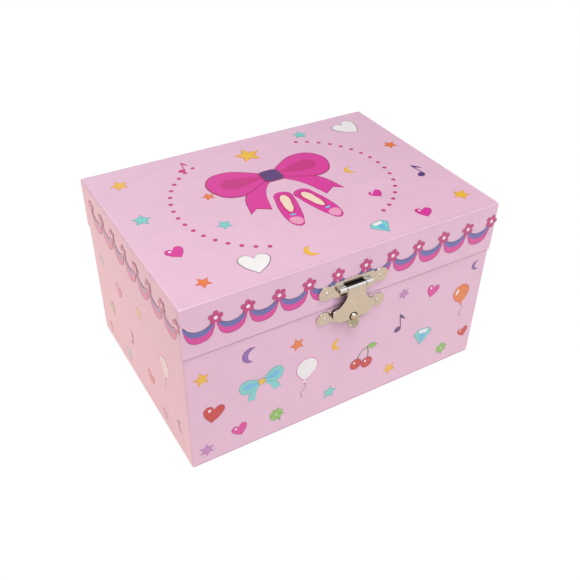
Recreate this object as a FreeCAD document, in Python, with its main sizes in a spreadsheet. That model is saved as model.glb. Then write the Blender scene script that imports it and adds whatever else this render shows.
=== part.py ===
import FreeCAD, Part
import math
import os
import re
import Sketcher
from FreeCAD import Placement, Rotation, Vector

# Musical jewellery box with a folding dancer. Millimetres, +X right, front towards -Y, +Z up,
# origin on the table under the middle of the case.

sizes = {
    # Closed box, measured over the printed paper
    "box_width": 155,
    "box_depth": 110,
    "box_height": 88,
    "lid_height": 24.5,
    "lid_overhang": 0.5,
    "seam_gap": 0.3,
    "board": 3,
    "floor_board": 2.5,
    "paper": 0.5,
    "lining": 0.5,
    "lining_drop": 1.5,
    "base_sheet": 0.5,
    "sheet_inset": 1.5,
    "overshoot": 1,
    # Mirror under the lid
    "mirror_width": 104,
    "mirror_depth": 62,
    "mirror_thick": 2,
    "frame_wide": 4,
    "frame_thick": 2.6,
    "mirror_clear": 0.1,
    # Stop hinges
    "hinge_inset": 29.5,
    "hinge_wide": 16,
    "leaf_thick": 0.8,
    "leaf_tall": 10,
    "knuckle_radius": 1.6,
    "lid_knuckle": 6,
    "knuckle_gap": 0.3,
    "hinge_pin_radius": 0.8,
    "pin_clear": 0.05,
    "hinge_clear": 0.2,
    "tail_long": 4,
    "tail_drop": 0.3,
    # Nails of hinges and latch
    "nail_radius": 0.45,
    "nail_clear": 0.1,
    "nail_long": 2.6,
    "nail_head": 0.9,
    "nail_head_thick": 0.45,
    "nail_crown": 0.54,
    # Latch
    "latch_wide": 34.4,
    "latch_tall": 7.8,
    "catch_tall": 6.8,
    "latch_body": 18.8,
    "latch_thick": 0.8,
    "latch_rise": 8.5,
    "catch_drop": 5.2,
    "latch_knuckle_radius": 1.5,
    "latch_knuckle_span": 16.4,
    "latch_pin_radius": 0.7,
    "latch_pin_stand": 1,
    "hasp_neck": 9,
    "hasp_wide": 21,
    "hasp_waist_drop": 10.5,
    "hasp_foot_drop": 17,
    "hasp_long": 21.2,
    "tongue_wide": 5.8,
    "tongue_flare": 1.7,
    "hasp_gap": 1.1,
    "dome_drop": 2.2,
    "dome_radius": 1.75,
    "dome_height": 1.4,
    "nub_radius": 1.3,
    "nub_height": 1.4,
    "nub_clear": 0.3,
    "foot_sag": 0.4,
    "foot_drop": 0.6,
    # Latch outlines, as shares of half their height or width
    "ear_neck_share": 0.68,
    "ear_dip_share": 0.74,
    "neck_bow_share": 1.15,
    "cheek_bow_share": 0.98,
    "foot_wide_share": 0.62,
    "foot_bow_share": 0.42,
    # Stage and compartments
    "stage_wide": 82,
    "stage_board": 2,
    "deck_board": 2.5,
    "deck_room": 3,
    "fan_room": 1.6,
    "divider_thick": 2,
    "divider_tall": 36,
    "divider_place": -17,
    "ring_base_tall": 20,
    "ring_count": 4,
    "ring_radius": 7.7,
    "ring_sink": 2.2,
    "ring_pinch": 2,
    "ring_shoulder": 0.8,
    "ring_end_share": 0.06,
    "cushion_gap": 0.3,
    # Movement
    "comb_room": 1.35,
    "block_deep": 6,
    "block_left": 15,
    "block_right": 35,
    "block_room": 1,
    "bedplate_thick": 1.5,
    "bedplate_inset": 1,
    "screw_inset": 3.6,
    "screw_radius": 1,
    "screw_head": 1.8,
    "screw_head_thick": 0.9,
    "screw_clear": 0.05,
    "screw_share": 0.75,
    "arbor_radius": 2,
    "arbor_clear": 0.05,
    "wall_hole": 3,
    "barrel_radius": 10,
    "barrel_deep": 8,
    "barrel_wall": 0.8,
    "barrel_gap": 0.4,
    "spring_strip": 0.5,
    "spring_pitch": 1.1,
    "spring_turns": 5,
    "spring_core": 3,
    "gear_module": 0.5,
    "tooth_root": 0.8,
    "tooth_tip": 0.34,
    "tooth_sink": 0.2,
    "crown_teeth": 36,
    "crown_face": 1.8,
    "pinion_teeth": 12,
    "pinion_face": 1.6,
    "wheel_teeth": 30,
    "wheel_face": 1.4,
    "governor_teeth": 10,
    "shaft_radius": 1,
    "shaft_clear": 0.05,
    "post_thick": 1.2,
    "post_half": 4,
    "end_play": 0.6,
    "cylinder_radius": 5.5,
    "cylinder_long": 17,
    "tune_pin_radius": 0.2,
    "tune_pin_height": 0.35,
    "tune_pin_sink": 0.3,
    "tune_pins_each": 3,
    "tune_angle": 47,
    "comb_teeth": 18,
    "comb_slot": 0.3,
    "comb_thick": 1,
    "comb_tooth_long": 6.5,
    "comb_base": 4.6,
    "comb_clear": 0.2,
    "comb_edge_share": 0.2,
    "comb_screw_share": 0.6,
    "fan_radius": 3.4,
    "fan_long": 9,
    "fan_thick": 0.5,
    "brake_radius": 2,
    "brake_thick": 1.2,
    "spindle_radius": 1.3,
    "bush_wall": 1,
    "bush_flange": 1,
    "bush_flange_thick": 0.6,
    "turntable_radius": 5,
    "turntable_thick": 2,
    "turntable_gap": 0.3,
    "stop_radius": 0.8,
    "stop_bend": 2,
    "stop_room": 2,
    "stop_back": 8,
    "stop_clear": 0.1,
    "lid_clear": 0.3,
    # Winding key
    "key_stand": 1.5,
    "key_hub_radius": 3.2,
    "key_hub_long": 6,
    "key_wide": 24,
    "key_tall": 12,
    "key_thick": 1.6,
    "key_eye": 2.2,
    "key_waist": 2.88,
    "key_bow_share": 1.15,
    "key_reach_share": 0.35,
    "key_shoulder_share": 0.8,
    "key_rise_share": 0.96,
    # Dancer, measured along her own axis from the bend of her spring
    "head_clear": 4.56,
    "coil_long": 9,
    "coil_radius": 2.3,
    "coil_wire": 0.7,
    "coil_turns": 4,
    "coil_lead_share": 2.2,
    "coil_side_share": 0.6,
    "plug_radius": 3.2,
    "plug_tall": 1.6,
    "leg_long": 18.5,
    "leg_ankle": 0.8,
    "leg_thigh": 1.7,
    "leg_apart": 1.5,
    "torso_long": 10.5,
    "hip_radius": 3,
    "waist_radius": 2.1,
    "chest_radius": 2.8,
    "neck_radius": 1,
    "head_radius": 3.3,
    "bun_radius": 1.6,
    "arm_radius": 0.75,
    "arm_ring": 6.6,
    "arm_top_angle": 84,
    "arm_sweep_angle": 153,
    "arm_lift_share": 0.8,
    "tutu_radius": 14,
    "tutu_thick": 1,
    "tutu_drop": 2.2,
    "tutu_clear": 0.3,
    "tutu_level_share": 0.6,
    "tutu_root_share": 1.6,
    # Her outline from seat to shoulder, as shares of its radii and length
    "seat_drop_share": 0.4,
    "seat_bow_share": 0.8,
    "seat_low_share": 0.2,
    "hip_level_share": 0.5,
    "flank_bow_share": 0.84,
    "flank_level_share": 0.24,
    "waist_level_share": 0.38,
    "rib_bow_share": 0.86,
    "rib_level_share": 0.52,
    "chest_level_share": 0.72,
    "shoulder_bow_share": 0.84,
    "shoulder_level_share": 0.94,
}

formulas = {
    "seam": "box_height - lid_height",
    "rim": "seam - seam_gap",
    "lid_x": "box_width / 2",
    "lid_y": "box_depth / 2",
    "case_x": "lid_x - lid_overhang",
    "case_y": "lid_y - lid_overhang",
    "board_x": "case_x - paper",
    "board_y": "case_y - paper",
    "inner_x": "board_x - board",
    "inner_y": "board_y - board",
    "room_x": "inner_x - lining",
    "room_y": "inner_y - lining",
    "floor_face": "base_sheet + floor_board",
    "floor_top": "floor_face + lining",
    "wall_top": "rim - paper",
    "lid_board_x": "lid_x - paper",
    "lid_board_y": "lid_y - paper",
    "lid_inner_x": "lid_board_x - board",
    "lid_inner_y": "lid_board_y - board",
    "lid_wall_low": "seam + paper",
    "panel_low": "box_height - paper - board",
    "ceiling": "panel_low - lining",
    "edge_radius": "2 * paper",
    "hinge_y": "lid_y + knuckle_radius + hinge_clear",
    "hinge_spread": "box_width - 2 * hinge_inset",
    "hinge_z": "seam - seam_gap / 2",
    "leaf_start": "knuckle_radius + hinge_clear",
    "latch_z": "seam + latch_rise",
    "catch_z": "seam - catch_drop",
    "dome_z": "catch_z - dome_drop",
    "latch_axis_y": "-(lid_y + latch_thick + latch_pin_stand)",
    "catch_face_y": "-(case_y + latch_thick)",
    "comb_low": "floor_top + comb_room",
    "comb_tip": "comb_low + comb_base + comb_tooth_long",
    "movement_height": "comb_tip + comb_clear + tune_pin_height + cylinder_radius",
    "block_face": "room_y - block_deep",
    "plate_face": "block_face - bedplate_thick",
    "barrel_back": "plate_face - barrel_gap",
    "crown_root": "barrel_back - barrel_deep",
    "addendum": "0.9 * gear_module",
    "dedendum": "1.2 * gear_module",
    "pinion_pitch": "gear_module * pinion_teeth / 2",
    "crown_pitch": "gear_module * crown_teeth / 2",
    "wheel_pitch": "gear_module * wheel_teeth / 2",
    "governor_pitch": "gear_module * governor_teeth / 2",
    "drive_y": "crown_root - dedendum - pinion_pitch",
    "governor_y": "drive_y - wheel_pitch - governor_pitch",
    "near_post": "barrel_radius + end_play",
    "cylinder_start": "near_post + post_thick + end_play",
    "wheel_start": "cylinder_start + cylinder_long + end_play",
    "far_post": "wheel_start + wheel_face + end_play",
    "brake_start": "far_post + post_thick + end_play",
    "stage_x": "stage_wide / 2",
    "stage_face": "governor_y - fan_radius - fan_room - stage_board",
    "deck_low": "movement_height + barrel_radius + deck_room",
    "deck_top": "deck_low + deck_board",
    "block_top": "deck_low - block_room",
    "bush_radius": "spindle_radius + shaft_clear + bush_wall",
    "turntable_low": "deck_top + bush_flange_thick + turntable_gap",
    "turntable_top": "turntable_low + turntable_thick",
    "stop_x": "brake_start + brake_thick + stop_room",
    "stop_low": "movement_height + brake_radius + stop_radius + stop_clear",
    "stop_y": "room_y - stop_back",
    "figure_long": "plug_tall + leg_long + torso_long + arm_ring * (1 + arm_lift_share) + arm_radius",
    "headroom": "ceiling - frame_thick - head_clear - turntable_top - coil_long / 2",
    "dancer_fold": "round(acos(headroom / (coil_long / 2 + figure_long)) / 1 deg)",
    "coil_reach": "coil_long * 180 / (pi * dancer_fold) * tan(dancer_fold / 2)",
    "pivot_z": "turntable_top + coil_reach",
    "hip_at": "coil_reach + plug_tall + leg_long",
    "shoulder_at": "hip_at + torso_long",
    "head_at": "shoulder_at + neck_radius + head_radius",
}

doc = FreeCAD.newDocument("JewelleryBox")
sheet = doc.addObject("Spreadsheet::Sheet", "Sizes")
for row, (alias, number) in enumerate(sizes.items(), start=1):
    sheet.set(f"A{row}", alias)
    sheet.set(f"B{row}", str(number))
    sheet.setAlias(f"B{row}", alias)
doc.recompute()

derived = doc.addObject("App::VarSet", "Derived")


def bound(text):
    """Expression text with each plain name pointed at its cell or derived value."""

    def place(match):
        name = match.group(0)
        if name in sizes:
            return f"Sizes.{name}"
        return f"Derived.{name}" if name in formulas else name

    return re.sub(r"[a-z_]+", place, text)


for alias, formula in formulas.items():
    derived.addProperty("App::PropertyFloat", alias)
    derived.setExpression(alias, bound(formula))
doc.recompute()


def num(name):
    """Number in the sheet, or derived from it, by its name."""
    return float(sheet.get(name)) if name in sizes else float(getattr(derived, name))


# Building blocks

turn_to = {
    "x": Rotation(Vector(0, 1, 0), 90),
    "y": Rotation(Vector(1, 0, 0), -90),
    "z": Rotation(),
}
exported = []


def node(piece, name):
    piece.Label = name
    exported.append(piece)
    return piece


def put(piece, at, turn=Rotation()):
    piece.Placement = Placement(Vector(), turn)
    for axis, text in zip("xyz", at):
        piece.setExpression(f"Placement.Base.{axis}", bound(text))
    return piece


def box(x, y, z):
    piece = doc.addObject("Part::Box", "Block")
    put(piece, (x[0], y[0], z[0]))
    for side, (low, high) in zip(("Length", "Width", "Height"), (x, y, z)):
        piece.setExpression(side, bound(f"({high}) - ({low})"))
    return piece


def rod(axis, radius, span, across):
    """Cylinder along an axis; across holds its two other coordinates in x, y, z order."""
    piece = doc.addObject("Part::Cylinder", "Rod")
    piece.setExpression("Radius", bound(radius))
    piece.setExpression("Height", bound(f"({span[1]}) - ({span[0]})"))
    at = list(across)
    at.insert("xyz".index(axis), span[0])
    return put(piece, at, turn_to[axis])


def fuse(*pieces):
    piece = doc.addObject("Part::MultiFuse", "Fuse")
    piece.Shapes = list(pieces)
    return piece


def cut(base, *tools):
    piece = doc.addObject("Part::Cut", "Cut")
    piece.Base = base
    piece.Tool = tools[0] if len(tools) == 1 else fuse(*tools)
    return piece


def common(first, second):
    piece = doc.addObject("Part::Common", "Common")
    piece.Base = first
    piece.Tool = second
    return piece


def rounded(base, radius, chosen):
    """Fillet on the edges of a base that chosen(edge) picks."""
    doc.recompute()
    piece = doc.addObject("Part::Fillet", "Fillet")
    piece.Base = base
    picked = [i for i, edge in enumerate(base.Shape.Edges, start=1) if chosen(edge)]
    piece.Edges = [(i, num(radius), num(radius)) for i in picked]
    return piece


def solid(shape, at=("0", "0", "0"), turn=Rotation()):
    piece = doc.addObject("Part::Feature", "Solid")
    piece.Shape = shape
    return put(piece, at, turn)


def body(at=("0", "0", "0"), turn=Rotation()):
    return put(doc.addObject("PartDesign::Body", "Body"), at, turn)


def origin(piece, role):
    return next(item for item in piece.Origin.OriginFeatures if item.Role == role)


def sketch(piece, plane, lift="0"):
    drawing = piece.newObject("Sketcher::SketchObject", "Sketch")
    drawing.AttachmentSupport = [(origin(piece, plane), "")]
    drawing.MapMode = "FlatFace"
    drawing.setExpression("AttachmentOffset.Base.z", bound(lift))
    return drawing


def draw_circle(drawing, radius):
    row = drawing.addGeometry(Part.Circle(Vector(), Vector(0, 0, 1), 1))
    drawing.addConstraint(Sketcher.Constraint("Coincident", row, 3, -1, 1))
    size = drawing.addConstraint(Sketcher.Constraint("Radius", row, 1))
    drawing.setExpression(f"Constraints[{size}]", bound(radius))


def draw_outline(drawing, points):
    """Closed outline of straight runs; a middle point given as (x, y, 'arc') bends its run."""
    closed = points + points[:1]
    start = closed[0]
    middle = None
    for point in closed[1:]:
        if point[-1] == "arc":
            middle = point
            continue
        ends = [Vector(start[0], start[1], 0), Vector(point[0], point[1], 0)]
        if middle:
            drawing.addGeometry(Part.Arc(ends[0], Vector(middle[0], middle[1], 0), ends[1]))
        else:
            drawing.addGeometry(Part.LineSegment(*ends))
        start = point
        middle = None


def pad(piece, drawing, length, midplane=False):
    feature = piece.newObject("PartDesign::Pad", "Pad")
    feature.Profile = drawing
    feature.Midplane = midplane
    feature.setExpression("Length", bound(length))
    return feature


def revolve(piece, drawing):
    feature = piece.newObject("PartDesign::Revolution", "Revolution")
    feature.Profile = drawing
    feature.ReferenceAxis = (drawing, ["V_Axis"])
    feature.Angle = 360
    return feature


def ring_of(piece, feature, count):
    pattern = piece.newObject("PartDesign::PolarPattern", "Ring")
    pattern.Originals = [feature]
    pattern.Axis = (origin(piece, "Z_Axis"), [""])
    pattern.Angle = 360
    pattern.setExpression("Occurrences", bound(count))
    piece.Tip = pattern
    return pattern


def upright(edge):
    return abs(edge.tangentAt(edge.FirstParameter).z) > 0.9


# Case and lid boards with their paper and lining

def frame_boards(part, x, y, inner, z):
    """Front and back boards run the full width, side boards stand between them."""
    across, between = (f"-{x}", x), (f"-{inner}_y", f"{inner}_y")
    boards = {
        "front": box(across, (f"-{y}", f"-{inner}_y"), z),
        "back": box(across, (f"{inner}_y", y), z),
        "left": box((f"-{x}", f"-{inner}_x"), between, z),
        "right": box((f"{inner}_x", x), between, z),
    }
    return {f"{part}_{side}": board for side, board in boards.items()}


def block_of(x, y, z):
    return box((f"-({x})", x), (f"-({y})", y), z)


def key_hole(front, back):
    span = (f"{front} - overshoot", f"{back} + overshoot")
    return rod("y", "wall_hole", span, ("0", "movement_height"))


def case():
    z = ("base_sheet", "wall_top")
    boards = frame_boards("case", "board_x", "board_y", "inner", z)
    boards["case_back"] = cut(boards["case_back"], key_hole("inner_y", "case_y"))
    for name, board in boards.items():
        node(board, name)
    node(block_of("inner_x", "inner_y", ("base_sheet", "floor_face")), "case_floor")
    node(block_of("case_x - sheet_inset", "case_y - sheet_inset", ("0", "base_sheet")), "base_sheet")
    outside = rounded(block_of("case_x", "case_y", ("base_sheet", "rim")), "edge_radius", upright)
    boards_room = block_of("board_x", "board_y", ("base_sheet", "wall_top"))
    mouth = block_of("inner_x", "inner_y", ("wall_top", "rim"))
    node(cut(outside, boards_room, mouth, key_hole("inner_y", "case_y")), "case_wrap")
    tray = block_of("inner_x", "inner_y", ("floor_face", "wall_top - lining_drop"))
    room = block_of("room_x", "room_y", ("floor_top", "wall_top"))
    node(cut(tray, room, key_hole("room_y", "inner_y")), "case_lining")


def lid():
    z = ("lid_wall_low", "panel_low")
    for name, board in frame_boards("lid", "lid_board_x", "lid_board_y", "lid_inner", z).items():
        node(board, name)
    node(block_of("lid_board_x", "lid_board_y", ("panel_low", "box_height - paper")), "lid_panel")
    top = num("box_height")

    def folded(edge):
        return upright(edge) or edge.BoundBox.ZMin > top - 1e-6

    outside = rounded(block_of("lid_x", "lid_y", ("seam", "box_height")), "edge_radius", folded)
    boards_room = block_of("lid_board_x", "lid_board_y", ("lid_wall_low", "box_height - paper"))
    mouth = block_of("lid_inner_x", "lid_inner_y", ("seam", "lid_wall_low"))
    node(cut(outside, boards_room, mouth), "lid_wrap")
    tray = block_of("lid_inner_x", "lid_inner_y", ("lid_wall_low + lining_drop", "panel_low"))
    room = block_of("lid_inner_x - lining", "lid_inner_y - lining", ("lid_wall_low", "ceiling"))
    node(cut(tray, room), "lid_lining")


def mirror():
    half = ("mirror_width / 2", "mirror_depth / 2")
    node(block_of(*half, ("ceiling - mirror_thick", "ceiling")), "mirror")
    z = ("ceiling - frame_thick", "ceiling")
    outer = block_of(f"{half[0]} + frame_wide", f"{half[1]} + frame_wide", z)
    inner = block_of(f"{half[0]} + mirror_clear", f"{half[1]} + mirror_clear", z)
    node(cut(outer, inner), "mirror_frame")


# Stop hinges at the back

def nail_places():
    """Nail spots as (x, y, z, side), where side is +1 at the back and -1 at the front."""
    hinge_half = num("hinge_wide") / 4
    leaf_middle = num("leaf_start") + (num("leaf_tall") - num("leaf_start")) / 2
    back = [(side * num("hinge_spread") / 2 + step, level) for side in (-1, 1)
            for step in (-hinge_half, hinge_half) for level in (-leaf_middle, leaf_middle)]
    ear = (num("latch_wide") / 2 + num("latch_body") / 2) / 2
    spots = {"case": [], "lid": []}
    for x, level in back:
        part = "case" if level < 0 else "lid"
        spots[part].append((x, num(f"{part}_y") + num("leaf_thick"), num("hinge_z") + level, 1))
    for side in (-ear, ear):
        spots["case"].append((side, num("catch_face_y"), num("catch_z"), -1))
        spots["lid"].append((side, -num("lid_y") - num("latch_thick"), num("latch_z"), -1))
    return spots


def nail_solids(spots, radius, head):
    """Shanks driven inwards from each spot, with a low head on the outside if head is true."""
    solids = []
    for x, y, z, side in spots:
        at = Vector(x, y, z)
        outward = Vector(0, side, 0)
        reach = num("leaf_thick") + num("nail_long")
        shank = Part.makeCylinder(radius, reach, at, -outward)
        if head:
            cap = Part.makeCone(num("nail_head"), num("nail_crown"), num("nail_head_thick"), at, outward)
            shank = shank.fuse(cap).removeSplitter()
        solids.append(shank)
    return Part.makeCompound(solids)


def nail_holes(part):
    return solid(nail_solids(nail_places()[part], num("nail_radius") + num("nail_clear"), False))


def nails():
    for part in ("case", "lid"):
        node(solid(nail_solids(nail_places()[part], num("nail_radius"), True)), f"{part}_nails")


def knuckle(x_low, x_high):
    return rod("x", "knuckle_radius", (x_low, x_high), ("hinge_y", "hinge_z"))


def hinge(side_name, side):
    middle = f"({side} * hinge_spread / 2)"
    left, right = f"{middle} - hinge_wide / 2", f"{middle} + hinge_wide / 2"
    lid_left, lid_right = f"{middle} - lid_knuckle / 2", f"{middle} + lid_knuckle / 2"
    through = (f"{left} - overshoot", f"{right} + overshoot")
    bore = rod("x", "hinge_pin_radius + pin_clear", through, ("hinge_y", "hinge_z"))

    case_face = ("case_y", "case_y + leaf_thick")
    leaf = box((left, right), case_face, ("hinge_z - leaf_tall", "hinge_z - leaf_start"))
    arms = []
    for low, high in ((left, f"{lid_left} - knuckle_gap"), (f"{lid_right} + knuckle_gap", right)):
        arms.append(knuckle(low, high))
        web = ("hinge_z - knuckle_radius", "hinge_z - knuckle_radius + leaf_thick")
        arms.append(box((low, high), ("case_y", "hinge_y"), web))
        arms.append(box((low, high), case_face, ("hinge_z - leaf_start", "hinge_z - knuckle_radius")))
    node(cut(fuse(leaf, *arms), bore, nail_holes("case")), f"{side_name}_hinge_case_leaf")

    lid_face = ("lid_y", "lid_y + leaf_thick")
    leaf = box((left, right), lid_face, ("hinge_z + leaf_start", "hinge_z + leaf_tall"))
    web = ("hinge_z + knuckle_radius - leaf_thick", "hinge_z + leaf_start")
    tail_middle = "hinge_z - tail_drop"
    tail = box((lid_left, lid_right), ("hinge_y", "hinge_y + tail_long"),
               (f"{tail_middle} - leaf_thick / 2", f"{tail_middle} + leaf_thick / 2"))
    roll = [
        knuckle(lid_left, lid_right),
        box((lid_left, lid_right), ("lid_y", "hinge_y"), (web[0], "hinge_z + knuckle_radius")),
        box((lid_left, lid_right), lid_face, web),
        tail,
    ]
    node(cut(fuse(leaf, *roll), bore, nail_holes("lid")), f"{side_name}_hinge_lid_leaf")
    pin = rod("x", "hinge_pin_radius", (left, right), ("hinge_y", "hinge_z"))
    node(pin, f"{side_name}_hinge_pin")


# Latch at the front

def eared_plate(at, tall):
    """Plate with a straight middle and a round ear at each end, standing off towards the front."""
    half, body_half, rise = num("latch_wide") / 2, num("latch_body") / 2, num(tall) / 2
    ear_root = body_half + (half - body_half) / 4
    neck, dip = rise * num("ear_neck_share"), (body_half + ear_root) / 2
    sag = rise * num("ear_dip_share")
    piece = body(at)
    drawing = sketch(piece, "XZ_Plane")
    draw_outline(drawing, [
        (-body_half, rise), (body_half, rise), (dip, sag, "arc"), (ear_root, neck),
        (half, 0, "arc"), (ear_root, -neck), (dip, -sag, "arc"), (body_half, -rise),
        (-body_half, -rise), (-dip, -sag, "arc"), (-ear_root, -neck),
        (-half, 0, "arc"), (-ear_root, neck), (-dip, sag, "arc"),
    ])
    pad(piece, drawing, "latch_thick")
    return piece


def latch_bore():
    span = ("-latch_knuckle_span / 2 - 1", "latch_knuckle_span / 2 + 1")
    return rod("x", "latch_pin_radius + pin_clear", span, ("latch_axis_y", "latch_z"))


def latch_plate():
    plate = eared_plate(("0", "-lid_y", "latch_z"), "latch_tall")
    window_x = "hasp_neck / 2 + knuckle_gap"
    window_z = "latch_knuckle_radius + knuckle_gap"
    window = box((f"-({window_x})", window_x), ("-lid_y - latch_thick", "-lid_y"),
                 (f"latch_z - {window_z}", f"latch_z + {window_z}"))
    spans = [("-latch_knuckle_span / 2", f"-({window_x})"), (window_x, "latch_knuckle_span / 2")]
    loops = [rod("x", "latch_knuckle_radius", span, ("latch_axis_y", "latch_z")) for span in spans]
    base = cut(plate, window)
    node(cut(fuse(base, *loops), latch_bore(), nail_holes("lid")), "latch_plate")
    span = ("-latch_knuckle_span / 2", "latch_knuckle_span / 2")
    node(rod("x", "latch_pin_radius", span, ("latch_axis_y", "latch_z")), "latch_pin")


def catch_plate():
    plate = eared_plate(("0", "-case_y", "catch_z"), "catch_tall")
    nub = doc.addObject("Part::Cone", "Nub")
    nub.setExpression("Radius1", bound("nub_radius"))
    nub.setExpression("Radius2", bound("nub_radius / 2"))
    nub.setExpression("Height", bound("nub_height"))
    put(nub, ("0", "catch_face_y", "catch_z"), Rotation(Vector(1, 0, 0), 90))
    node(cut(fuse(plate, nub), nail_holes("case")), "catch_plate")


def hasp():
    """Bent strip under its front outline, with a rolled knuckle, a dome and a rear snap channel."""
    axis_y, axis_z = num("latch_axis_y"), num("latch_z")
    thick, roll = num("latch_thick"), num("latch_knuckle_radius")
    outer_top = axis_y - roll
    outer_low = num("catch_face_y") - num("hasp_gap") - thick
    waist = axis_z - num("hasp_waist_drop")
    foot = axis_z - num("hasp_foot_drop")
    end = axis_z - num("hasp_long")
    flare = outer_low - num("tongue_flare")
    side = [(outer_top, axis_z), (outer_top, axis_z - roll), (outer_low, waist), (outer_low, foot),
            (flare, end)]
    strip = body()
    drawing = sketch(strip, "YZ_Plane")
    draw_outline(drawing, side + [(y + thick, z) for y, z in reversed(side)])
    pad(strip, drawing, "hasp_wide", midplane=True)

    neck, wide, tongue = (num(name) / 2 for name in ("hasp_neck", "hasp_wide", "tongue_wide"))
    cheek = (waist + foot) / 2
    outline = body(("0", "latch_axis_y + latch_knuckle_radius", "0"))
    drawing = sketch(outline, "XZ_Plane")
    right = [
        (neck, axis_z),
        (neck, axis_z - roll),
        (neck * num("neck_bow_share"), (axis_z + waist) / 2, "arc"),
        (wide, waist),
        (wide * num("cheek_bow_share"), cheek, "arc"),
        (wide * num("foot_wide_share"), foot),
        (wide * num("foot_bow_share"), foot - num("foot_sag"), "arc"),
        (tongue, foot - num("foot_drop")),
        (tongue, end + tongue),
    ]
    left = [(-point[0],) + point[1:] for point in reversed(right)]
    draw_outline(drawing, right + [(0, end, "arc")] + left)
    pad(outline, drawing, "latch_knuckle_radius * 4 + tongue_flare")

    half_neck = ("-hasp_neck / 2", "hasp_neck / 2")
    knuckle_roll = rod("x", "latch_knuckle_radius", half_neck, ("latch_axis_y", "latch_z"))
    face_y = "catch_face_y - hasp_gap - latch_thick"
    dome = doc.addObject("Part::Sphere", "Dome")
    dome_ball = "(dome_radius * dome_radius + dome_height * dome_height) / (2 * dome_height)"
    dome.setExpression("Radius", bound(dome_ball))
    put(dome, ("0", f"{face_y} - dome_height + {dome_ball}", "dome_z"))
    cap_depth = (f"{face_y} - dome_height", f"{face_y} + latch_thick / 2")
    cap = common(dome, box(("-dome_radius", "dome_radius"), cap_depth,
                           ("dome_z - dome_radius", "dome_z + dome_radius")))
    room = "nub_radius + nub_clear"
    channel = box((f"-({room})", room), ("catch_face_y - nub_height - nub_clear / 2", "catch_face_y"),
                  ("latch_z - hasp_long - overshoot", f"catch_z + {room}"))
    node(cut(fuse(common(strip, outline), knuckle_roll, cap), channel, latch_bore()), "latch_hasp")


# Stage, divider and ring cushion

def stage():
    z = ("floor_top", "deck_low")
    inner_face = "stage_face + stage_board"
    node(box(("-stage_x", "stage_x"), ("stage_face", inner_face), z), "stage_front")
    node(box(("-stage_x", "-stage_x + stage_board"), (inner_face, "room_y"), z), "stage_left")
    node(box(("stage_x - stage_board", "stage_x"), (inner_face, "room_y"), z), "stage_right")
    deck = box(("-stage_x", "stage_x"), ("stage_face", "room_y"), ("deck_low", "deck_top"))
    hole_z = ("deck_low", "deck_top")
    bush_hole = rod("z", "bush_radius", hole_z, ("0", "drive_y"))
    wire_hole = rod("z", "stop_radius + stop_clear", hole_z, ("stop_x", "stop_y"))
    node(cut(deck, bush_hole, wire_hole), "stage_deck")


def divider():
    x = ("divider_place - divider_thick / 2", "divider_place + divider_thick / 2")
    node(box(x, ("-room_y", "stage_face"), ("floor_top", "floor_top + divider_tall")), "divider")


def ring_cushion():
    """Padded rolls side by side on a block, each with a crown and sides drawn in at its ends."""
    left = "-room_x + cushion_gap"
    right = "divider_place - divider_thick / 2 - cushion_gap"
    back = "stage_face - cushion_gap"
    base_top = "floor_top + ring_base_tall"
    node(box((left, right), ("-room_y + cushion_gap", back), ("floor_top", base_top)), "ring_base")
    gap = num("cushion_gap")
    low_x, high_x = gap - num("room_x"), num("divider_place") - num("divider_thick") / 2 - gap
    low_y, high_y = gap - num("room_y"), num("stage_face") - gap
    pitch = (high_y - low_y) / num("ring_count")
    seat = num("floor_top") + num("ring_base_tall")
    rolls = [ring_roll(low_x, high_x, low_y + pitch * (row + 0.5), seat, pitch)
             for row in range(int(num("ring_count")))]
    node(solid(Part.makeCompound(rolls)), "ring_rolls")


def ring_roll(low_x, high_x, y, seat, pitch):
    """Loft of flat-bottomed round sections, smaller towards both ends."""
    half = min(num("ring_radius"), (pitch - num("cushion_gap")) / 2)
    centre = seat + half - num("ring_sink")
    turn_in, pinch, shoulder = num("ring_end_share"), num("ring_pinch"), num("ring_shoulder")
    shares = (0, turn_in, 0.5, 1 - turn_in, 1)
    pinches = (pinch, shoulder, 0, shoulder, pinch)
    sections = []
    for share, drawn_in in zip(shares, pinches):
        radius = half - drawn_in
        drop = seat - centre
        side = math.sqrt(radius ** 2 - drop ** 2)
        x = low_x + (high_x - low_x) * share
        ends = [Vector(x, y - side, seat), Vector(x, y + side, seat)]
        top = Vector(x, y, centre + radius)
        climb = Part.Arc(ends[0], Vector(x, y - radius, centre), top).toShape()
        fall = Part.Arc(top, Vector(x, y + radius, centre), ends[1]).toShape()
        sections.append(Part.Wire([climb, fall, Part.LineSegment(ends[1], ends[0]).toShape()]))
    return Part.makeLoft(sections, True, True)


# Movement behind the stage front

def screw(at, direction, reach):
    shank = Part.makeCylinder(num("screw_radius"), reach, at, direction)
    head = Part.makeCylinder(num("screw_head"), num("screw_head_thick"), at, -direction)
    return shank.fuse(head).removeSplitter()


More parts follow.
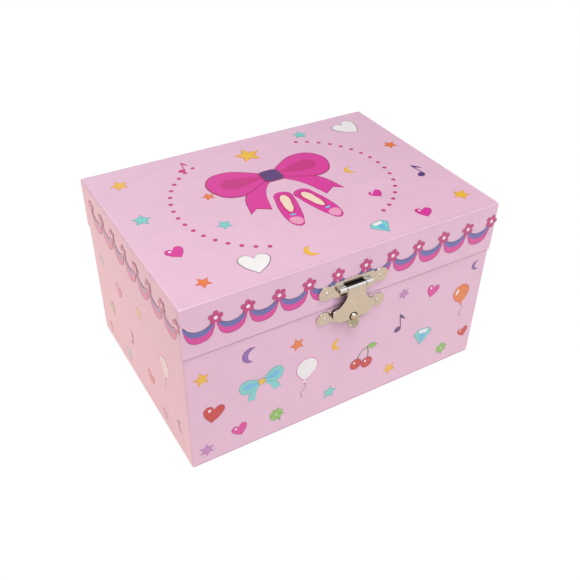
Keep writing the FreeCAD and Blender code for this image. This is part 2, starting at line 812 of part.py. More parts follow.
def movement_base():
    low, high = "floor_top", "block_top"
    block = box(("-block_left", "block_right"), ("block_face", "room_y"), (low, high))
    left, right = num("screw_inset") - num("block_left"), num("block_right") - num("screw_inset")
    bottom, top = num("floor_top") + num("screw_inset"), num("block_top") - num("screw_inset")
    spots = [(left, bottom), (left, top), (right, top)]
    reach = num("bedplate_thick") + num("block_deep") * num("screw_share")
    clear = num("screw_clear")
    shafts = [Part.makeCylinder(num("screw_radius") + clear, reach + clear,
                                Vector(x, num("plate_face"), z), Vector(0, 1, 0)) for x, z in spots]
    holes = Part.makeCompound(shafts)
    node(cut(block, key_hole("block_face", "room_y"), solid(holes)), "movement_block")
    plate_x = ("-block_left + bedplate_inset", "block_right - bedplate_inset")
    plate = box(plate_x, ("plate_face", "block_face"),
                (f"{low} + bedplate_inset", f"{high} - bedplate_inset"))
    comb_back = "drive_y + comb_thick / 2"
    ledge = box(("cylinder_start", "cylinder_start + cylinder_long"), (comb_back, "plate_face"),
                ("comb_low", "comb_low + comb_base"))
    through = ("plate_face - overshoot", "block_face + overshoot")
    bearing = rod("y", "arbor_radius + arbor_clear", through, ("0", "movement_height"))
    node(cut(fuse(plate, ledge), bearing, solid(holes), solid(comb_shafts("screw_clear"))), "bedplate")
    screws = [screw(Vector(x, num("plate_face"), z), Vector(0, 1, 0), reach) for x, z in spots]
    node(solid(Part.makeCompound(screws)), "movement_screws")


def comb_spots():
    start, long = num("cylinder_start"), num("cylinder_long")
    level = num("comb_low") + num("comb_base") / 2
    front, edge = num("drive_y") - num("comb_thick") / 2, num("comb_edge_share")
    return [Vector(start + long * share, front, level) for share in (edge, 1 - edge)]


def comb_shafts(clear):
    radius = num("screw_radius") + num(clear)
    reach = comb_screw_reach() + num(clear)
    back = Vector(0, 1, 0)
    return Part.makeCompound([Part.makeCylinder(radius, reach, at, back) for at in comb_spots()])


def comb_screw_reach():
    return (num("plate_face") - num("drive_y")) * num("comb_screw_share")


def comb():
    """Steel plate with one tooth for each track of the cylinder, teeth pointing up."""
    piece = body(("cylinder_start", "drive_y + comb_thick / 2", "comb_low"))
    wide, tall = num("cylinder_long"), num("comb_base") + num("comb_tooth_long")
    drawing = sketch(piece, "XZ_Plane")
    draw_outline(drawing, [(0, 0), (wide, 0), (wide, tall), (0, tall)])
    pad(piece, drawing, "comb_thick")
    pitch = wide / num("comb_teeth")
    slot = sketch(piece, "XZ_Plane")
    half, past = num("comb_slot") / 2, tall + num("overshoot")
    draw_outline(slot, [(pitch - half, num("comb_base")), (pitch + half, num("comb_base")),
                        (pitch + half, past), (pitch - half, past)])
    doc.recompute()
    pocket = piece.newObject("PartDesign::Pocket", "Slot")
    pocket.Profile = slot
    pocket.Type = "ThroughAll"
    pocket.Midplane = True
    row = piece.newObject("PartDesign::LinearPattern", "Slots")
    row.Originals = [pocket]
    row.Direction = (origin(piece, "X_Axis"), [""])
    row.setExpression("Length", bound("cylinder_long * (comb_teeth - 2) / comb_teeth"))
    row.setExpression("Occurrences", bound("comb_teeth - 1"))
    piece.Tip = row
    node(cut(piece, solid(comb_shafts("screw_clear"))), "comb")
    screws = [screw(at, Vector(0, 1, 0), comb_screw_reach()) for at in comb_spots()]
    node(solid(Part.makeCompound(screws)), "comb_screws")


def tooth_outline(root, tip):
    """Straight-sided tooth, rooted a little inside its rim, pointing along the second axis."""
    wide, narrow = num("tooth_root") / 2, num("tooth_tip") / 2
    return [(-wide, root), (wide, root), (narrow, tip), (-narrow, tip)]


def add_teeth(piece, pitch, count, face, start, phase):
    """Ring of straight teeth round the local Z axis; phase 0 points one tooth along +X."""
    root = num(pitch) - num("dedendum") - num("tooth_sink")
    tip = num(pitch) + num("addendum")
    drawing = sketch(piece, "XY_Plane", start)
    turn = Rotation(Vector(0, 0, 1), phase - 90)
    points = [turn.multVec(Vector(x, y, 0)) for x, y in tooth_outline(root, tip)]
    draw_outline(drawing, [(point.x, point.y) for point in points])
    ring_of(piece, pad(piece, drawing, face), count)


def spring_barrel():
    """Drum open towards the bedplate, with crown teeth on its front rim; local +Z points forward."""
    piece = body(("0", "barrel_back", "movement_height"), Rotation(Vector(1, 0, 0), 90))
    outer, wall, deep = num("barrel_radius"), num("barrel_wall"), num("barrel_deep")
    bore = num("arbor_radius") + num("arbor_clear")
    drawing = sketch(piece, "XZ_Plane")
    draw_outline(drawing, [(bore, deep - wall), (outer - wall, deep - wall), (outer - wall, 0),
                           (outer, 0), (outer, deep), (bore, deep)])
    revolve(piece, drawing)
    doc.recompute()
    drawing = sketch(piece, "YZ_Plane", "barrel_radius - crown_face")
    tip = deep + num("dedendum") + num("addendum")
    draw_outline(drawing, tooth_outline(deep - num("tooth_sink"), tip))
    tooth = pad(piece, drawing, "crown_face")
    ring_of(piece, tooth, "crown_teeth")
    # Half a tooth of turn leaves a gap, not a tooth, towards each pinion
    half_tooth = Rotation(Vector(0, 1, 0), 180 / num("crown_teeth"))
    piece.Placement = Placement(piece.Placement.Base, half_tooth.multiply(piece.Placement.Rotation))
    node(piece, "spring_barrel")
    at = ("0", "barrel_back - end_play", "movement_height")
    node(solid(mainspring_shape(), at, Rotation(Vector(1, 0, 0), 90)), "mainspring")


def mainspring_shape():
    """Flat strip wound as half circles about two centres half a pitch apart."""
    thick, half_pitch = num("spring_strip"), num("spring_pitch") / 2
    inner, outer = [], []
    radius, sign, centre = num("spring_core"), 1, 0
    for _ in range(int(2 * num("spring_turns"))):
        for wires, grown in ((inner, radius), (outer, radius + thick)):
            ends = [Vector(centre + sign * grown, 0, 0), Vector(centre - sign * grown, 0, 0)]
            wires.append(Part.Arc(ends[0], Vector(centre, sign * grown, 0), ends[1]).toShape())
        centre += sign * half_pitch
        radius += half_pitch
        sign = -sign
    starts = [wires[0].firstVertex(True).Point for wires in (inner, outer)]
    stops = [wires[-1].lastVertex(True).Point for wires in (inner, outer)]
    ends = [Part.LineSegment(*pair).toShape() for pair in (starts, stops)]
    profile = Part.Face(Part.Wire(Part.__sortEdges__(inner + outer + ends)))
    wide = num("barrel_deep") - num("barrel_wall") - 2 * num("end_play")
    return profile.extrude(Vector(0, 0, wide))


def winder():
    far_end = "case_y + key_stand + key_hub_long"
    span = ("crown_root - end_play", far_end)
    node(rod("y", "arbor_radius", span, ("0", "movement_height")), "winding_arbor")
    hub_start = "case_y + key_stand"
    hub = rod("y", "key_hub_radius", (hub_start, far_end), ("0", "movement_height"))
    half_wide, half_tall, eye = num("key_wide") / 2, num("key_tall") / 2, num("key_eye")
    lobe = half_wide - half_tall
    waist, bow = num("key_waist"), lobe * num("key_reach_share")
    shoulder, rise = lobe * num("key_shoulder_share"), half_tall * num("key_rise_share")
    piece = body(("0", f"{far_end} + key_thick", "movement_height"))
    drawing = sketch(piece, "XZ_Plane")
    curve = waist * num("key_bow_share")
    wing = [(0, waist), (bow, curve, "arc"), (shoulder, rise), (half_wide, 0, "arc"),
            (shoulder, -rise), (bow, -curve, "arc")]
    draw_outline(drawing, wing + [(-point[0], -point[1]) + point[2:] for point in wing])
    pad(piece, drawing, "key_thick")
    wing_y = (far_end, f"{far_end} + key_thick")
    eyes = [rod("y", "key_eye", wing_y, (f"{side} * {lobe + eye / 4}", "movement_height"))
            for side in (-1, 1)]
    bore = rod("y", "arbor_radius + arbor_clear", (hub_start, far_end), ("0", "movement_height"))
    node(cut(fuse(hub, piece), bore, *eyes), "winding_key")


def music_cylinder():
    """Brass drum along X with a few pins on each track."""
    radius, long = num("cylinder_radius"), num("cylinder_long")
    start = Vector(num("cylinder_start"), num("drive_y"), num("movement_height"))
    drum = Part.makeCylinder(radius, long, start, Vector(1, 0, 0))
    pins = []
    pitch = long / num("comb_teeth")
    each, sunk = int(num("tune_pins_each")), num("tune_pin_sink")
    for track in range(int(num("comb_teeth"))):
        for place in range(each):
            angle = math.radians(num("tune_angle") * track + 360 / each * place + 90)
            outward = Vector(0, math.cos(angle), math.sin(angle))
            foot = start + Vector(pitch * (track + 0.5), 0, 0) + outward * (radius - sunk)
            reach = num("tune_pin_height") + sunk
            pins.append(Part.makeCylinder(num("tune_pin_radius"), reach, foot, outward))
    shaft = Part.makeCylinder(num("shaft_radius"), long, start, Vector(1, 0, 0))
    node(solid(drum.multiFuse(pins).cut(shaft)), "music_cylinder")


def cylinder_arbor():
    """Arbor along X, local Z; a pinion at its near end meets the crown teeth."""
    near = "crown_pitch - pinion_face / 2"
    piece = body((near, "drive_y", "movement_height"), turn_to["x"])
    drawing = sketch(piece, "XY_Plane")
    draw_circle(drawing, "shaft_radius")
    pad(piece, drawing, f"far_post + post_thick + end_play / 2 - ({near})")
    drawing = sketch(piece, "XY_Plane")
    draw_circle(drawing, "pinion_pitch - dedendum")
    pad(piece, drawing, "pinion_face")
    add_teeth(piece, "pinion_pitch", "pinion_teeth", "pinion_face", "0", 90)
    node(piece, "cylinder_arbor")

    wheel = body(("wheel_start", "drive_y", "movement_height"), turn_to["x"])
    drawing = sketch(wheel, "XY_Plane")
    draw_circle(drawing, "wheel_pitch - dedendum")
    pad(wheel, drawing, "wheel_face")
    add_teeth(wheel, "wheel_pitch", "wheel_teeth", "wheel_face", "0", -90)
    through = ("wheel_start - overshoot", "far_post")
    shaft = rod("x", "shaft_radius", through, ("drive_y", "movement_height"))
    node(cut(wheel, shaft), "cylinder_wheel")


def movement_bracket():
    z = ("movement_height - post_half", "movement_height + post_half")
    y = ("governor_y - governor_pitch", "plate_face")
    posts = [box((start, f"{start} + post_thick"), y, z) for start in ("near_post", "far_post")]
    foot = box(("near_post", "far_post + post_thick"), ("plate_face - post_thick", "plate_face"), z)
    span = ("near_post - overshoot", "far_post + post_thick + overshoot")
    bores = [rod("x", "shaft_radius + shaft_clear", span, (y_at, "movement_height"))
             for y_at in ("drive_y", "governor_y")]
    node(cut(fuse(foot, *posts), *bores), "movement_bracket")


def governor():
    """Fan on a fast arbor in front of the cylinder, with a brake disc outside the far post."""
    start = "near_post + post_thick / 4"
    piece = body((start, "governor_y", "movement_height"), turn_to["x"])
    drawing = sketch(piece, "XY_Plane")
    draw_circle(drawing, "shaft_radius")
    pad(piece, drawing, f"brake_start + brake_thick - ({start})")
    drawing = sketch(piece, "XY_Plane", f"brake_start - ({start})")
    draw_circle(drawing, "brake_radius")
    pad(piece, drawing, "brake_thick")
    fan_start = f"cylinder_start + (cylinder_long - fan_long) / 2 - ({start})"
    drawing = sketch(piece, "XY_Plane", fan_start)
    reach, half = num("fan_radius"), num("fan_thick") / 2
    draw_outline(drawing, [(-half, -reach), (half, -reach), (half, reach), (-half, reach)])
    pad(piece, drawing, "fan_long")
    drawing = sketch(piece, "XY_Plane", f"wheel_start - ({start})")
    draw_circle(drawing, "governor_pitch - dedendum")
    pad(piece, drawing, "wheel_face")
    add_teeth(piece, "governor_pitch", "governor_teeth", "wheel_face", f"wheel_start - ({start})",
              90 + 180 / num("governor_teeth"))
    node(piece, "governor")


def spindle():
    """Upright shaft with a pinion over the crown teeth and a turntable above the deck."""
    near = "movement_height + crown_pitch - pinion_face / 2"
    piece = body(("0", "drive_y", near))
    drawing = sketch(piece, "XY_Plane")
    draw_circle(drawing, "spindle_radius")
    pad(piece, drawing, f"turntable_top - ({near})")
    drawing = sketch(piece, "XY_Plane", f"turntable_low - ({near})")
    draw_circle(drawing, "turntable_radius")
    pad(piece, drawing, "turntable_thick")
    drawing = sketch(piece, "XY_Plane")
    draw_circle(drawing, "pinion_pitch - dedendum")
    pad(piece, drawing, "pinion_face")
    add_teeth(piece, "pinion_pitch", "pinion_teeth", "pinion_face", "0", 90)
    node(piece, "spindle")
    sleeve = rod("z", "bush_radius", ("deck_low", "deck_top"), ("0", "drive_y"))
    flange_z = ("deck_top", "deck_top + bush_flange_thick")
    flange = rod("z", "bush_radius + bush_flange", flange_z, ("0", "drive_y"))
    through = ("deck_low - overshoot", "deck_top + overshoot")
    bore = rod("z", "spindle_radius + shaft_clear", through, ("0", "drive_y"))
    node(cut(fuse(sleeve, flange), bore), "spindle_bush")


def bent_path(points, bend):
    """Straight runs with a tangent arc of one radius at each square corner."""
    edges = []
    start = points[0]
    for before, corner, after in zip(points, points[1:], points[2:]):
        back, ahead = (before - corner).normalize(), (after - corner).normalize()
        first, last = corner + back * bend, corner + ahead * bend
        middle = corner + (back + ahead) * bend * (1 - math.sqrt(0.5))
        edges += [Part.LineSegment(start, first).toShape(), Part.Arc(first, middle, last).toShape()]
        start = last
    edges.append(Part.LineSegment(start, points[-1]).toShape())
    return Part.Wire(edges)


def tube(path, start, direction, radius):
    ring = Part.Wire(Part.makeCircle(radius, start, direction))
    return path.makePipeShell([ring], True, False)


def stop_wire():
    """Wire that the lid holds down on the brake disc and that rises as the lid opens."""
    top = Vector(num("stop_x"), num("stop_y"), num("ceiling") - num("lid_clear"))
    knee = Vector(top.x, top.y, num("stop_low"))
    elbow = Vector(top.x, num("governor_y"), knee.z)
    tip = Vector(num("brake_start"), elbow.y, knee.z)
    path = bent_path([top, knee, elbow, tip], num("stop_bend"))
    node(solid(tube(path, top, Vector(0, 0, -1), num("stop_radius"))), "stop_wire")


# Dancer on her coil spring, folded forward under the closed lid

def biarc(start, start_way, end, end_way):
    """Two tangent arcs between two points with given directions."""
    gap, ways = end - start, start_way + end_way
    square = 2 * (start_way.dot(end_way) - 1)
    slope = -2 * gap.dot(ways)
    if abs(square) < 1e-9:
        reach = gap.dot(gap) / -slope
    else:
        reach = (-slope - math.sqrt(slope ** 2 - 4 * square * gap.dot(gap))) / (2 * square)
    middle = (start + start_way * reach + end - end_way * reach) * 0.5
    return [tangent_arc(start, start_way, middle), tangent_arc(end, end_way * -1, middle, True)]


def tangent_arc(start, way, end, backwards=False):
    chord = end - start
    along = Vector(chord).normalize()
    aside = way - along * way.dot(along)
    lean = math.atan2(aside.Length, way.dot(along))
    middle = start + chord * 0.5 + aside.normalize() * (chord.Length / 2 * math.tan(lean / 2))
    ends = (end, start) if backwards else (start, end)
    return Part.Arc(ends[0], middle, ends[1]).toShape()


def coil_point(share):
    """Point of the bent coil: round its axis, whose own arc leans forward by the fold."""
    fold = math.radians(num("dancer_fold"))
    bend_radius = num("coil_long") / fold
    lean = fold * share
    axis = Vector(0, -bend_radius * (1 - math.cos(lean)), bend_radius * math.sin(lean))
    out = Vector(0, -math.cos(lean), -math.sin(lean))
    angle = 2 * math.pi * num("coil_turns") * (share - coil_lead()) / (1 - 2 * coil_lead())
    return axis + (Vector(1, 0, 0) * math.cos(angle) + out * -math.sin(angle)) * num("coil_radius")


def coil_way(share, step=1e-4):
    return (coil_point(share + step) - coil_point(share - step)).normalize()


def coil_lead():
    """Share of the coil's length taken by each straight end and the bend into it."""
    return num("coil_lead_share") * num("coil_wire") / num("coil_long")


def dancer_spring():
    fold = math.radians(num("dancer_fold"))
    lead, wire = coil_lead(), num("coil_wire")
    quarters = int(num("coil_turns") * 4)
    shares = [lead + (1 - 2 * lead) * row / quarters for row in range(quarters + 1)]
    points = [coil_point(share) for share in shares]
    ways = [coil_way(share) for share in shares]
    reach = num("coil_reach")
    up, lean = Vector(0, 0, 1), Vector(0, -math.sin(fold), math.cos(fold))
    top_centre = up * reach + lean * reach
    aside = num("coil_radius") * num("coil_side_share")
    foot = Vector(num("coil_radius"), -aside, 0)
    side = Vector(1, 0, 0)
    front = side.cross(lean)
    head = top_centre + side * num("coil_radius") + front * -aside
    edges = [Part.LineSegment(foot, foot + up * wire).toShape()]
    edges += biarc(foot + up * wire, up, points[0], ways[0])
    for row in range(quarters):
        edges += biarc(points[row], ways[row], points[row + 1], ways[row + 1])
    edges += biarc(points[-1], ways[-1], head - lean * wire, lean)
    edges.append(Part.LineSegment(head - lean * wire, head).toShape())
    path = Part.Wire(Part.__sortEdges__(edges))
    print("coil self gap", round(coil_gap(path), 3), "mm")
    node(solid(tube(path, foot, up, wire / 2), ("0", "drive_y", "turntable_top")), "dancer_spring")


def coil_gap(path):
    """Least distance between stretches of the wire more than two diameters apart along it."""
    wire = num("coil_wire")
    count = int(path.Length / (wire / 2))
    spots = path.discretize(Number=count)
    apart = math.ceil(3 * wire / (path.Length / count)) + 1
    return min(spots[i].distanceToPoint(spots[j]) for i in range(count)
               for j in range(i + apart, count)) - wire


def dancer_turn():
    return Rotation(Vector(1, 0, 0), num("dancer_fold"))


def ball(radius, x, level):
    piece = doc.addObject("Part::Sphere", "Ball")
    piece.setExpression("Radius", bound(radius))
    return put(piece, (x, "0", level))


def dancer():
    """Moulded figure on pointe with both arms raised in a ring."""
    plug = rod("z", "plug_radius", ("coil_reach", "coil_reach + plug_tall"), ("0", "0"))
    legs = []
    for side in (-1, 1):
        leg = doc.addObject("Part::Cone", "Leg")
        leg.setExpression("Radius1", bound("leg_ankle"))
        leg.setExpression("Radius2", bound("leg_thigh"))
        leg.setExpression("Height", bound("leg_long + hip_radius / 2"))
        legs.append(put(leg, (f"{side} * leg_apart", "0", "coil_reach + plug_tall")))
    torso = body(("0", "0", "hip_at"))
    drawing = sketch(torso, "XZ_Plane")
    long = num("torso_long")
    hip, waist, chest, neck = (num(f"{name}_radius") for name in ("hip", "waist", "chest", "neck"))
    draw_outline(drawing, [
        (0, -hip * num("seat_drop_share")),
        (hip * num("seat_bow_share"), -hip * num("seat_low_share"), "arc"),
        (hip, hip * num("hip_level_share")),
        (hip * num("flank_bow_share"), long * num("flank_level_share"), "arc"),
        (waist, long * num("waist_level_share")),
        (chest * num("rib_bow_share"), long * num("rib_level_share"), "arc"),
        (chest, long * num("chest_level_share")),
        (chest * num("shoulder_bow_share"), long * num("shoulder_level_share"), "arc"),
        (neck, long),
        (neck, long + neck * 2),
        (0, long + neck * 2),
    ])
    revolve(torso, drawing)
    head = ball("head_radius", "0", "head_at")
    bun = ball("bun_radius", "0", "head_at + head_radius + bun_radius / 2")
    arms = []
    for side in (-1, 1):
        arm = doc.addObject("Part::Torus", "Arm")
        arm.setExpression("Radius1", bound("arm_ring"))
        arm.setExpression("Radius2", bound("arm_radius"))
        arm.setExpression("Angle3", bound("arm_sweep_angle"))
        start = num("arm_top_angle") - num("arm_sweep_angle") if side > 0 else 180 - num("arm_top_angle")
        flat = Rotation(Vector(1, 0, 0), 90).multiply(Rotation(Vector(0, 0, 1), start))
        arms.append(put(arm, ("0", "0", "shoulder_at + arm_ring * arm_lift_share"), flat))
    figure = fuse(plug, *legs, torso, head, bun, *arms)
    node(put(figure, ("0", "drive_y", "pivot_z"), dancer_turn()), "dancer")


def tutu():
    piece = body(("0", "drive_y", "pivot_z"), dancer_turn())
    drawing = sketch(piece, "XZ_Plane", "0")
    inner = num("hip_radius") + num("tutu_clear")
    level, edge = num("hip_at") + num("hip_radius") * num("tutu_level_share"), num("tutu_radius")
    thick, drop = num("tutu_thick"), num("tutu_drop")
    draw_outline(drawing, [(inner, level), (edge, level - drop), (edge, level - drop - thick),
                           (inner, level - thick * num("tutu_root_share"))])
    revolve(piece, drawing)
    node(piece, "tutu")


case()
lid()
mirror()
nails()
hinge("left", -1)
hinge("right", 1)
latch_plate()
catch_plate()
hasp()
stage()
divider()
ring_cushion()
movement_base()
comb()
spring_barrel()
winder()
music_cylinder()
cylinder_arbor()
movement_bracket()
governor()
spindle()
stop_wire()
dancer_spring()
dancer()
tutu()
doc.recompute()

for item in doc.Objects:
    broken = [state for state in item.State if state in ("Invalid", "Error")]
    if broken:
        raise RuntimeError(f"{item.Name} ({item.Label}) failed: {item.State}")
for piece in exported:
    if piece.Shape.isNull() or not piece.Shape.isValid() or not piece.Shape.Solids:
        raise RuntimeError(f"{piece.Label} has no sound shape")

os.makedirs("parts", exist_ok=True)
for piece in exported:
    piece.Shape.exportStep(f"parts/{piece.Label}.step")
print(len(exported), "sub-parts written")
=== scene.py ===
import math
import random

import bpy
from mathutils import Matrix, Vector


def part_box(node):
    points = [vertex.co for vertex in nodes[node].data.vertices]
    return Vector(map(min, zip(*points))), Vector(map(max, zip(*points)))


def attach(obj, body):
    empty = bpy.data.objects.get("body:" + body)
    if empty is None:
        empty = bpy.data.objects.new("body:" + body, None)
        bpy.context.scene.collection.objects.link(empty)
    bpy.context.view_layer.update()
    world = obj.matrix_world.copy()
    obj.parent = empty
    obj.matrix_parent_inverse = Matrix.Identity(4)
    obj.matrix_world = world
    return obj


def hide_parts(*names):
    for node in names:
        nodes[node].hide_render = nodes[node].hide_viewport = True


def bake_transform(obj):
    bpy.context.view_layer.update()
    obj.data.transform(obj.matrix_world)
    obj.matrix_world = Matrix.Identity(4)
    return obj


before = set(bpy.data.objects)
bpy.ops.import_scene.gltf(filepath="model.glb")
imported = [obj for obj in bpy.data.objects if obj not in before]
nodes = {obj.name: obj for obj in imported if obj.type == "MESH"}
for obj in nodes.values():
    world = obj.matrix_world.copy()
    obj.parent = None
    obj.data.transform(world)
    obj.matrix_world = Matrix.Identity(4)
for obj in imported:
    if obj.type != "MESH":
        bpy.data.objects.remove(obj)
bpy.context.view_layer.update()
scene = bpy.context.scene
mm = 0.001
random.seed(11)
print("frame loaded,", len(nodes), "nodes")


# Small tools

# Degrees up to which a bend shades smooth
edgeAngle, tubeAngle, roundAngle = 35, 60, 80


def pick(*pieces):
    bpy.ops.object.select_all(action="DESELECT")
    for piece in pieces:
        piece.select_set(True)
    bpy.context.view_layer.objects.active = pieces[0]


def newObject(name, data):
    piece = bpy.data.objects.new(name, data)
    scene.collection.objects.link(piece)
    return piece


def copyOf(piece, name="copy"):
    return newObject(name, piece.data.copy())


def modify(piece, kind, **settings):
    modifier = piece.modifiers.new(kind.title(), kind)
    for key, value in settings.items():
        setattr(modifier, key, value)
    pick(piece)
    bpy.ops.object.modifier_apply(modifier=modifier.name)


def edit(piece):
    pick(piece)
    bpy.ops.object.mode_set(mode="EDIT")
    bpy.ops.mesh.select_all(action="SELECT")


def leave():
    bpy.ops.object.mode_set(mode="OBJECT")


def grab(piece, kind, test):
    # Edit mode with only what passes the test selected
    edit(piece)
    bpy.ops.mesh.select_mode(type=kind)
    bpy.ops.mesh.select_all(action="DESELECT")
    leave()
    for part in piece.data.vertices if kind == "VERT" else piece.data.polygons:
        part.select = test(part)
    bpy.ops.object.mode_set(mode="EDIT")


def settle(piece):
    pick(piece)
    bpy.ops.object.transform_apply(location=True, rotation=True, scale=True)
    return piece


def putAt(piece, spot, stretch=(1, 1, 1), turn=(0, 0, 0)):
    piece.location = Vector(spot) * mm
    piece.scale = stretch
    piece.rotation_euler = turn
    return settle(piece)


def solid(kind, spot=(0, 0, 0), stretch=(1, 1, 1), turn=(0, 0, 0), **settings):
    bpy.ops.object.select_all(action="DESELECT")
    getattr(bpy.ops.mesh, f"primitive_{kind}_add")(**settings)
    return putAt(bpy.context.object, spot, stretch, turn)


def closeUp(piece, reach=1e-6):
    edit(piece)
    bpy.ops.mesh.remove_doubles(threshold=reach)
    bpy.ops.mesh.normals_make_consistent(inside=False)
    leave()
    return piece


def smooth(piece, angle=edgeAngle):
    pick(piece)
    bpy.ops.object.shade_smooth_by_angle(angle=math.radians(angle))
    return piece


def join(pieces):
    pick(*pieces)
    if len(pieces) > 1:
        bpy.ops.object.join()
    return bpy.context.object


def newCurve(name, dimensions, **settings):
    curve = bpy.data.curves.new(name, "CURVE")
    curve.dimensions = dimensions
    for key, value in settings.items():
        setattr(curve, key, value)
    return curve


def addSpline(curve, rows, closed=False):
    # Rows of x, y, z and radius; one value more makes a sharp corner
    spline = curve.splines.new("BEZIER")
    spline.use_cyclic_u = closed
    spline.bezier_points.add(len(rows) - 1)
    for point, (x, y, z, radius, *sharp) in zip(spline.bezier_points, rows):
        point.co = (x * mm, y * mm, z * mm)
        point.radius = radius
        point.handle_left_type = point.handle_right_type = "VECTOR" if sharp else "AUTO"


def toMesh(shape):
    pick(shape)
    bpy.ops.object.convert(target="MESH")
    return closeUp(settle(bpy.context.object))


def flipped(rows, side):
    return [(x * side, *rest) for x, *rest in rows]


def coat(piece, material):
    piece.data.materials.clear()
    piece.data.materials.append(material)
    return piece


def dress(material, *names):
    for name in names:
        coat(nodes[name], material)


def pieceName(node):
    first, *rest = node.split("_")
    return first + "".join(word.title() for word in rest)


def finishPiece(piece, name, body, material=None, stands=()):
    piece.name = piece.data.name = name
    if material:
        coat(piece, material)
    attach(piece, body)
    if stands:
        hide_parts(*stands)
    return piece


# Finishes

def srgb(*levels):
    linear = []
    for level in levels:
        level /= 255
        linear.append(level / 12.92 if level <= 0.04045 else ((level + 0.055) / 1.055) ** 2.4)
    return (*linear, 1.0)


def shaded(color, share):
    return tuple(level * share for level in color[:3]) + (1.0,)


def shaderOf(material):
    return material.node_tree.nodes["Principled BSDF"]


def feed(socket, value):
    # A link from another socket, or a plain value
    if isinstance(value, bpy.types.NodeSocket):
        socket.id_data.links.new(value, socket)
    else:
        socket.default_value = value


def setSockets(node, **values):
    for key, value in values.items():
        feed(node.inputs[key.replace("_", " ")], value)
    return node


def makeMaterial(name, color, roughness, **values):
    material = bpy.data.materials.new(name)
    material.use_nodes = True
    setSockets(shaderOf(material), Base_Color=color, Roughness=roughness, **values)
    return material


def addNode(tree, kind, **values):
    return setSockets(tree.nodes.new(kind), **values)


def mathOn(operation, *values):
    sockets = [value for value in values if isinstance(value, bpy.types.NodeSocket)]
    node = addNode(sockets[0].id_data, "ShaderNodeMath")
    node.operation = operation
    for socket, value in zip(node.inputs, values):
        feed(socket, value)
    return node.outputs["Value"]


def fadeOn(value, start, end, low=0, high=1):
    # From low at the start to high at the end
    fade = addNode(value.id_data, "ShaderNodeMapRange", Value=value, From_Min=start, From_Max=end,
                   To_Min=low, To_Max=high)
    return fade.outputs["Result"]


def mixColors(factor, low, high):
    mix = addNode(factor.id_data, "ShaderNodeMix")
    mix.data_type = "RGBA"
    return setSockets(mix, Factor=factor, A=low, B=high).outputs["Result"]


def axesOf(material, space="Object"):
    spot = addNode(material.node_tree, "ShaderNodeTexCoord").outputs[space]
    parts = addNode(material.node_tree, "ShaderNodeSeparateXYZ", Vector=spot)
    return [parts.outputs[axis] for axis in "XYZ"]


def noiseOn(material, scale, detail, stretch=(1, 1, 1)):
    tree = material.node_tree
    spot = addNode(tree, "ShaderNodeTexCoord").outputs["Object"]
    mapped = addNode(tree, "ShaderNodeMapping", Vector=spot, Scale=stretch).outputs["Vector"]
    return addNode(tree, "ShaderNodeTexNoise", Vector=mapped, Scale=scale, Detail=detail).outputs["Fac"]


tintSpan = (0.35, 0.65)  # where on the noise the two colours stand


def tintBy(material, low, high, *grain):
    ramp = addNode(material.node_tree, "ShaderNodeValToRGB", Fac=noiseOn(material, *grain))
    for element, color, spot in zip(ramp.color_ramp.elements, (low, high), tintSpan):
        element.color = color
        element.position = spot
    setSockets(shaderOf(material), Base_Color=ramp.outputs["Color"])


def paintOver(material, factor, color):
    target = shaderOf(material).inputs["Base Color"]
    feed(target, mixColors(factor, target.links[0].from_socket, color))


def roughBy(material, factor, low, high):
    setSockets(shaderOf(material), Roughness=fadeOn(factor, 0, 1, low, high))


def bumpBy(material, depth, strength, *grain):
    height = noiseOn(material, *grain)
    bump = addNode(material.node_tree, "ShaderNodeBump", Strength=strength, Distance=depth * mm,
                   Height=height)
    target = shaderOf(material).inputs["Normal"]
    if target.links:
        setSockets(bump, Normal=target.links[0].from_socket)
    feed(target, bump.outputs["Normal"])


finishSet = {  # grain is a noise's scale and detail; bumps are depth, strength and grain
    "paper": {"sockets": {"Coat_Weight": 1.0, "Coat_Roughness": 0.16, "Coat_IOR": 1.6},
              "roughness": 0.36, "shades": (0.975, 1.015), "grain": (90, 5),
              "bumps": ((0.01, 0.35, 2600, 2),)},
    "velvet": {"roughness": 0.85, "sockets": {"Sheen_Weight": 0.7, "Sheen_Roughness": 0.45},
               "shades": (0.92, 1.05), "grain": (420, 6),
               "bumps": ((0.06, 0.5, 5200, 2), (0.08, 0.3, 700, 3))},
    "plastic": {"sockets": {"Coat_Weight": 0.2, "Coat_Roughness": 0.15},
                "shades": (0.95, 1.04), "grain": (300, 3), "bumps": ((0.008, 0.3, 1800, 2),)},
    "metal": {"sockets": {"Metallic": 1.0}, "shades": (0.95, 1.03), "grain": (700, 3),
              "bumps": ((0.012, 0.06, 700, 3),), "patches": (240, 4), "patchSpan": (0.75, 1.3)},
}


def finish(kind, name, color, roughness=None, stretch=(1, 1, 1), bumps=None):
    facts = finishSet[kind]
    roughness = roughness or facts["roughness"]
    material = makeMaterial(name, color, roughness, **facts["sockets"])
    tintBy(material, *(shaded(color, share) for share in facts["shades"]), *facts["grain"], stretch)
    for bump in bumps or facts["bumps"]:
        bumpBy(material, *bump, stretch)
    if "patches" in facts:
        span = [roughness * share for share in facts["patchSpan"]]
        roughBy(material, noiseOn(material, *facts["patches"]), *span)
    return material


# Pink paper: the folds are paler, partly worn and partly with a painted highlight, the long folds get
# painted shade, and the case has a painted shadow line under the lid

lidLow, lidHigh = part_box("lid_wrap")
caseLow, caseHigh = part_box("case_wrap")
pink = srgb(239, 194, 221)
foldSet = {
    "folds": ((0, 2, 1), (0, 1, 1.5)),  # the two axes across a fold, and how soon its paler band ends
    "reach": 1.5 * mm, "wornAndLit": srgb(255, 211, 229),
    "patchGrain": (260, 4), "patches": (0.1, 0.55), "towardsFront": (120 * mm, -40 * mm),
    "dull": (1.4 * mm, 0.5 * mm), "foldShadeShare": 0.82,
    "rim": 2 * mm, "seam": 0.65 * mm, "seamShade": srgb(206, 153, 182), "outside": 0.3 * mm,
    "turnIn": 7 * mm,
}


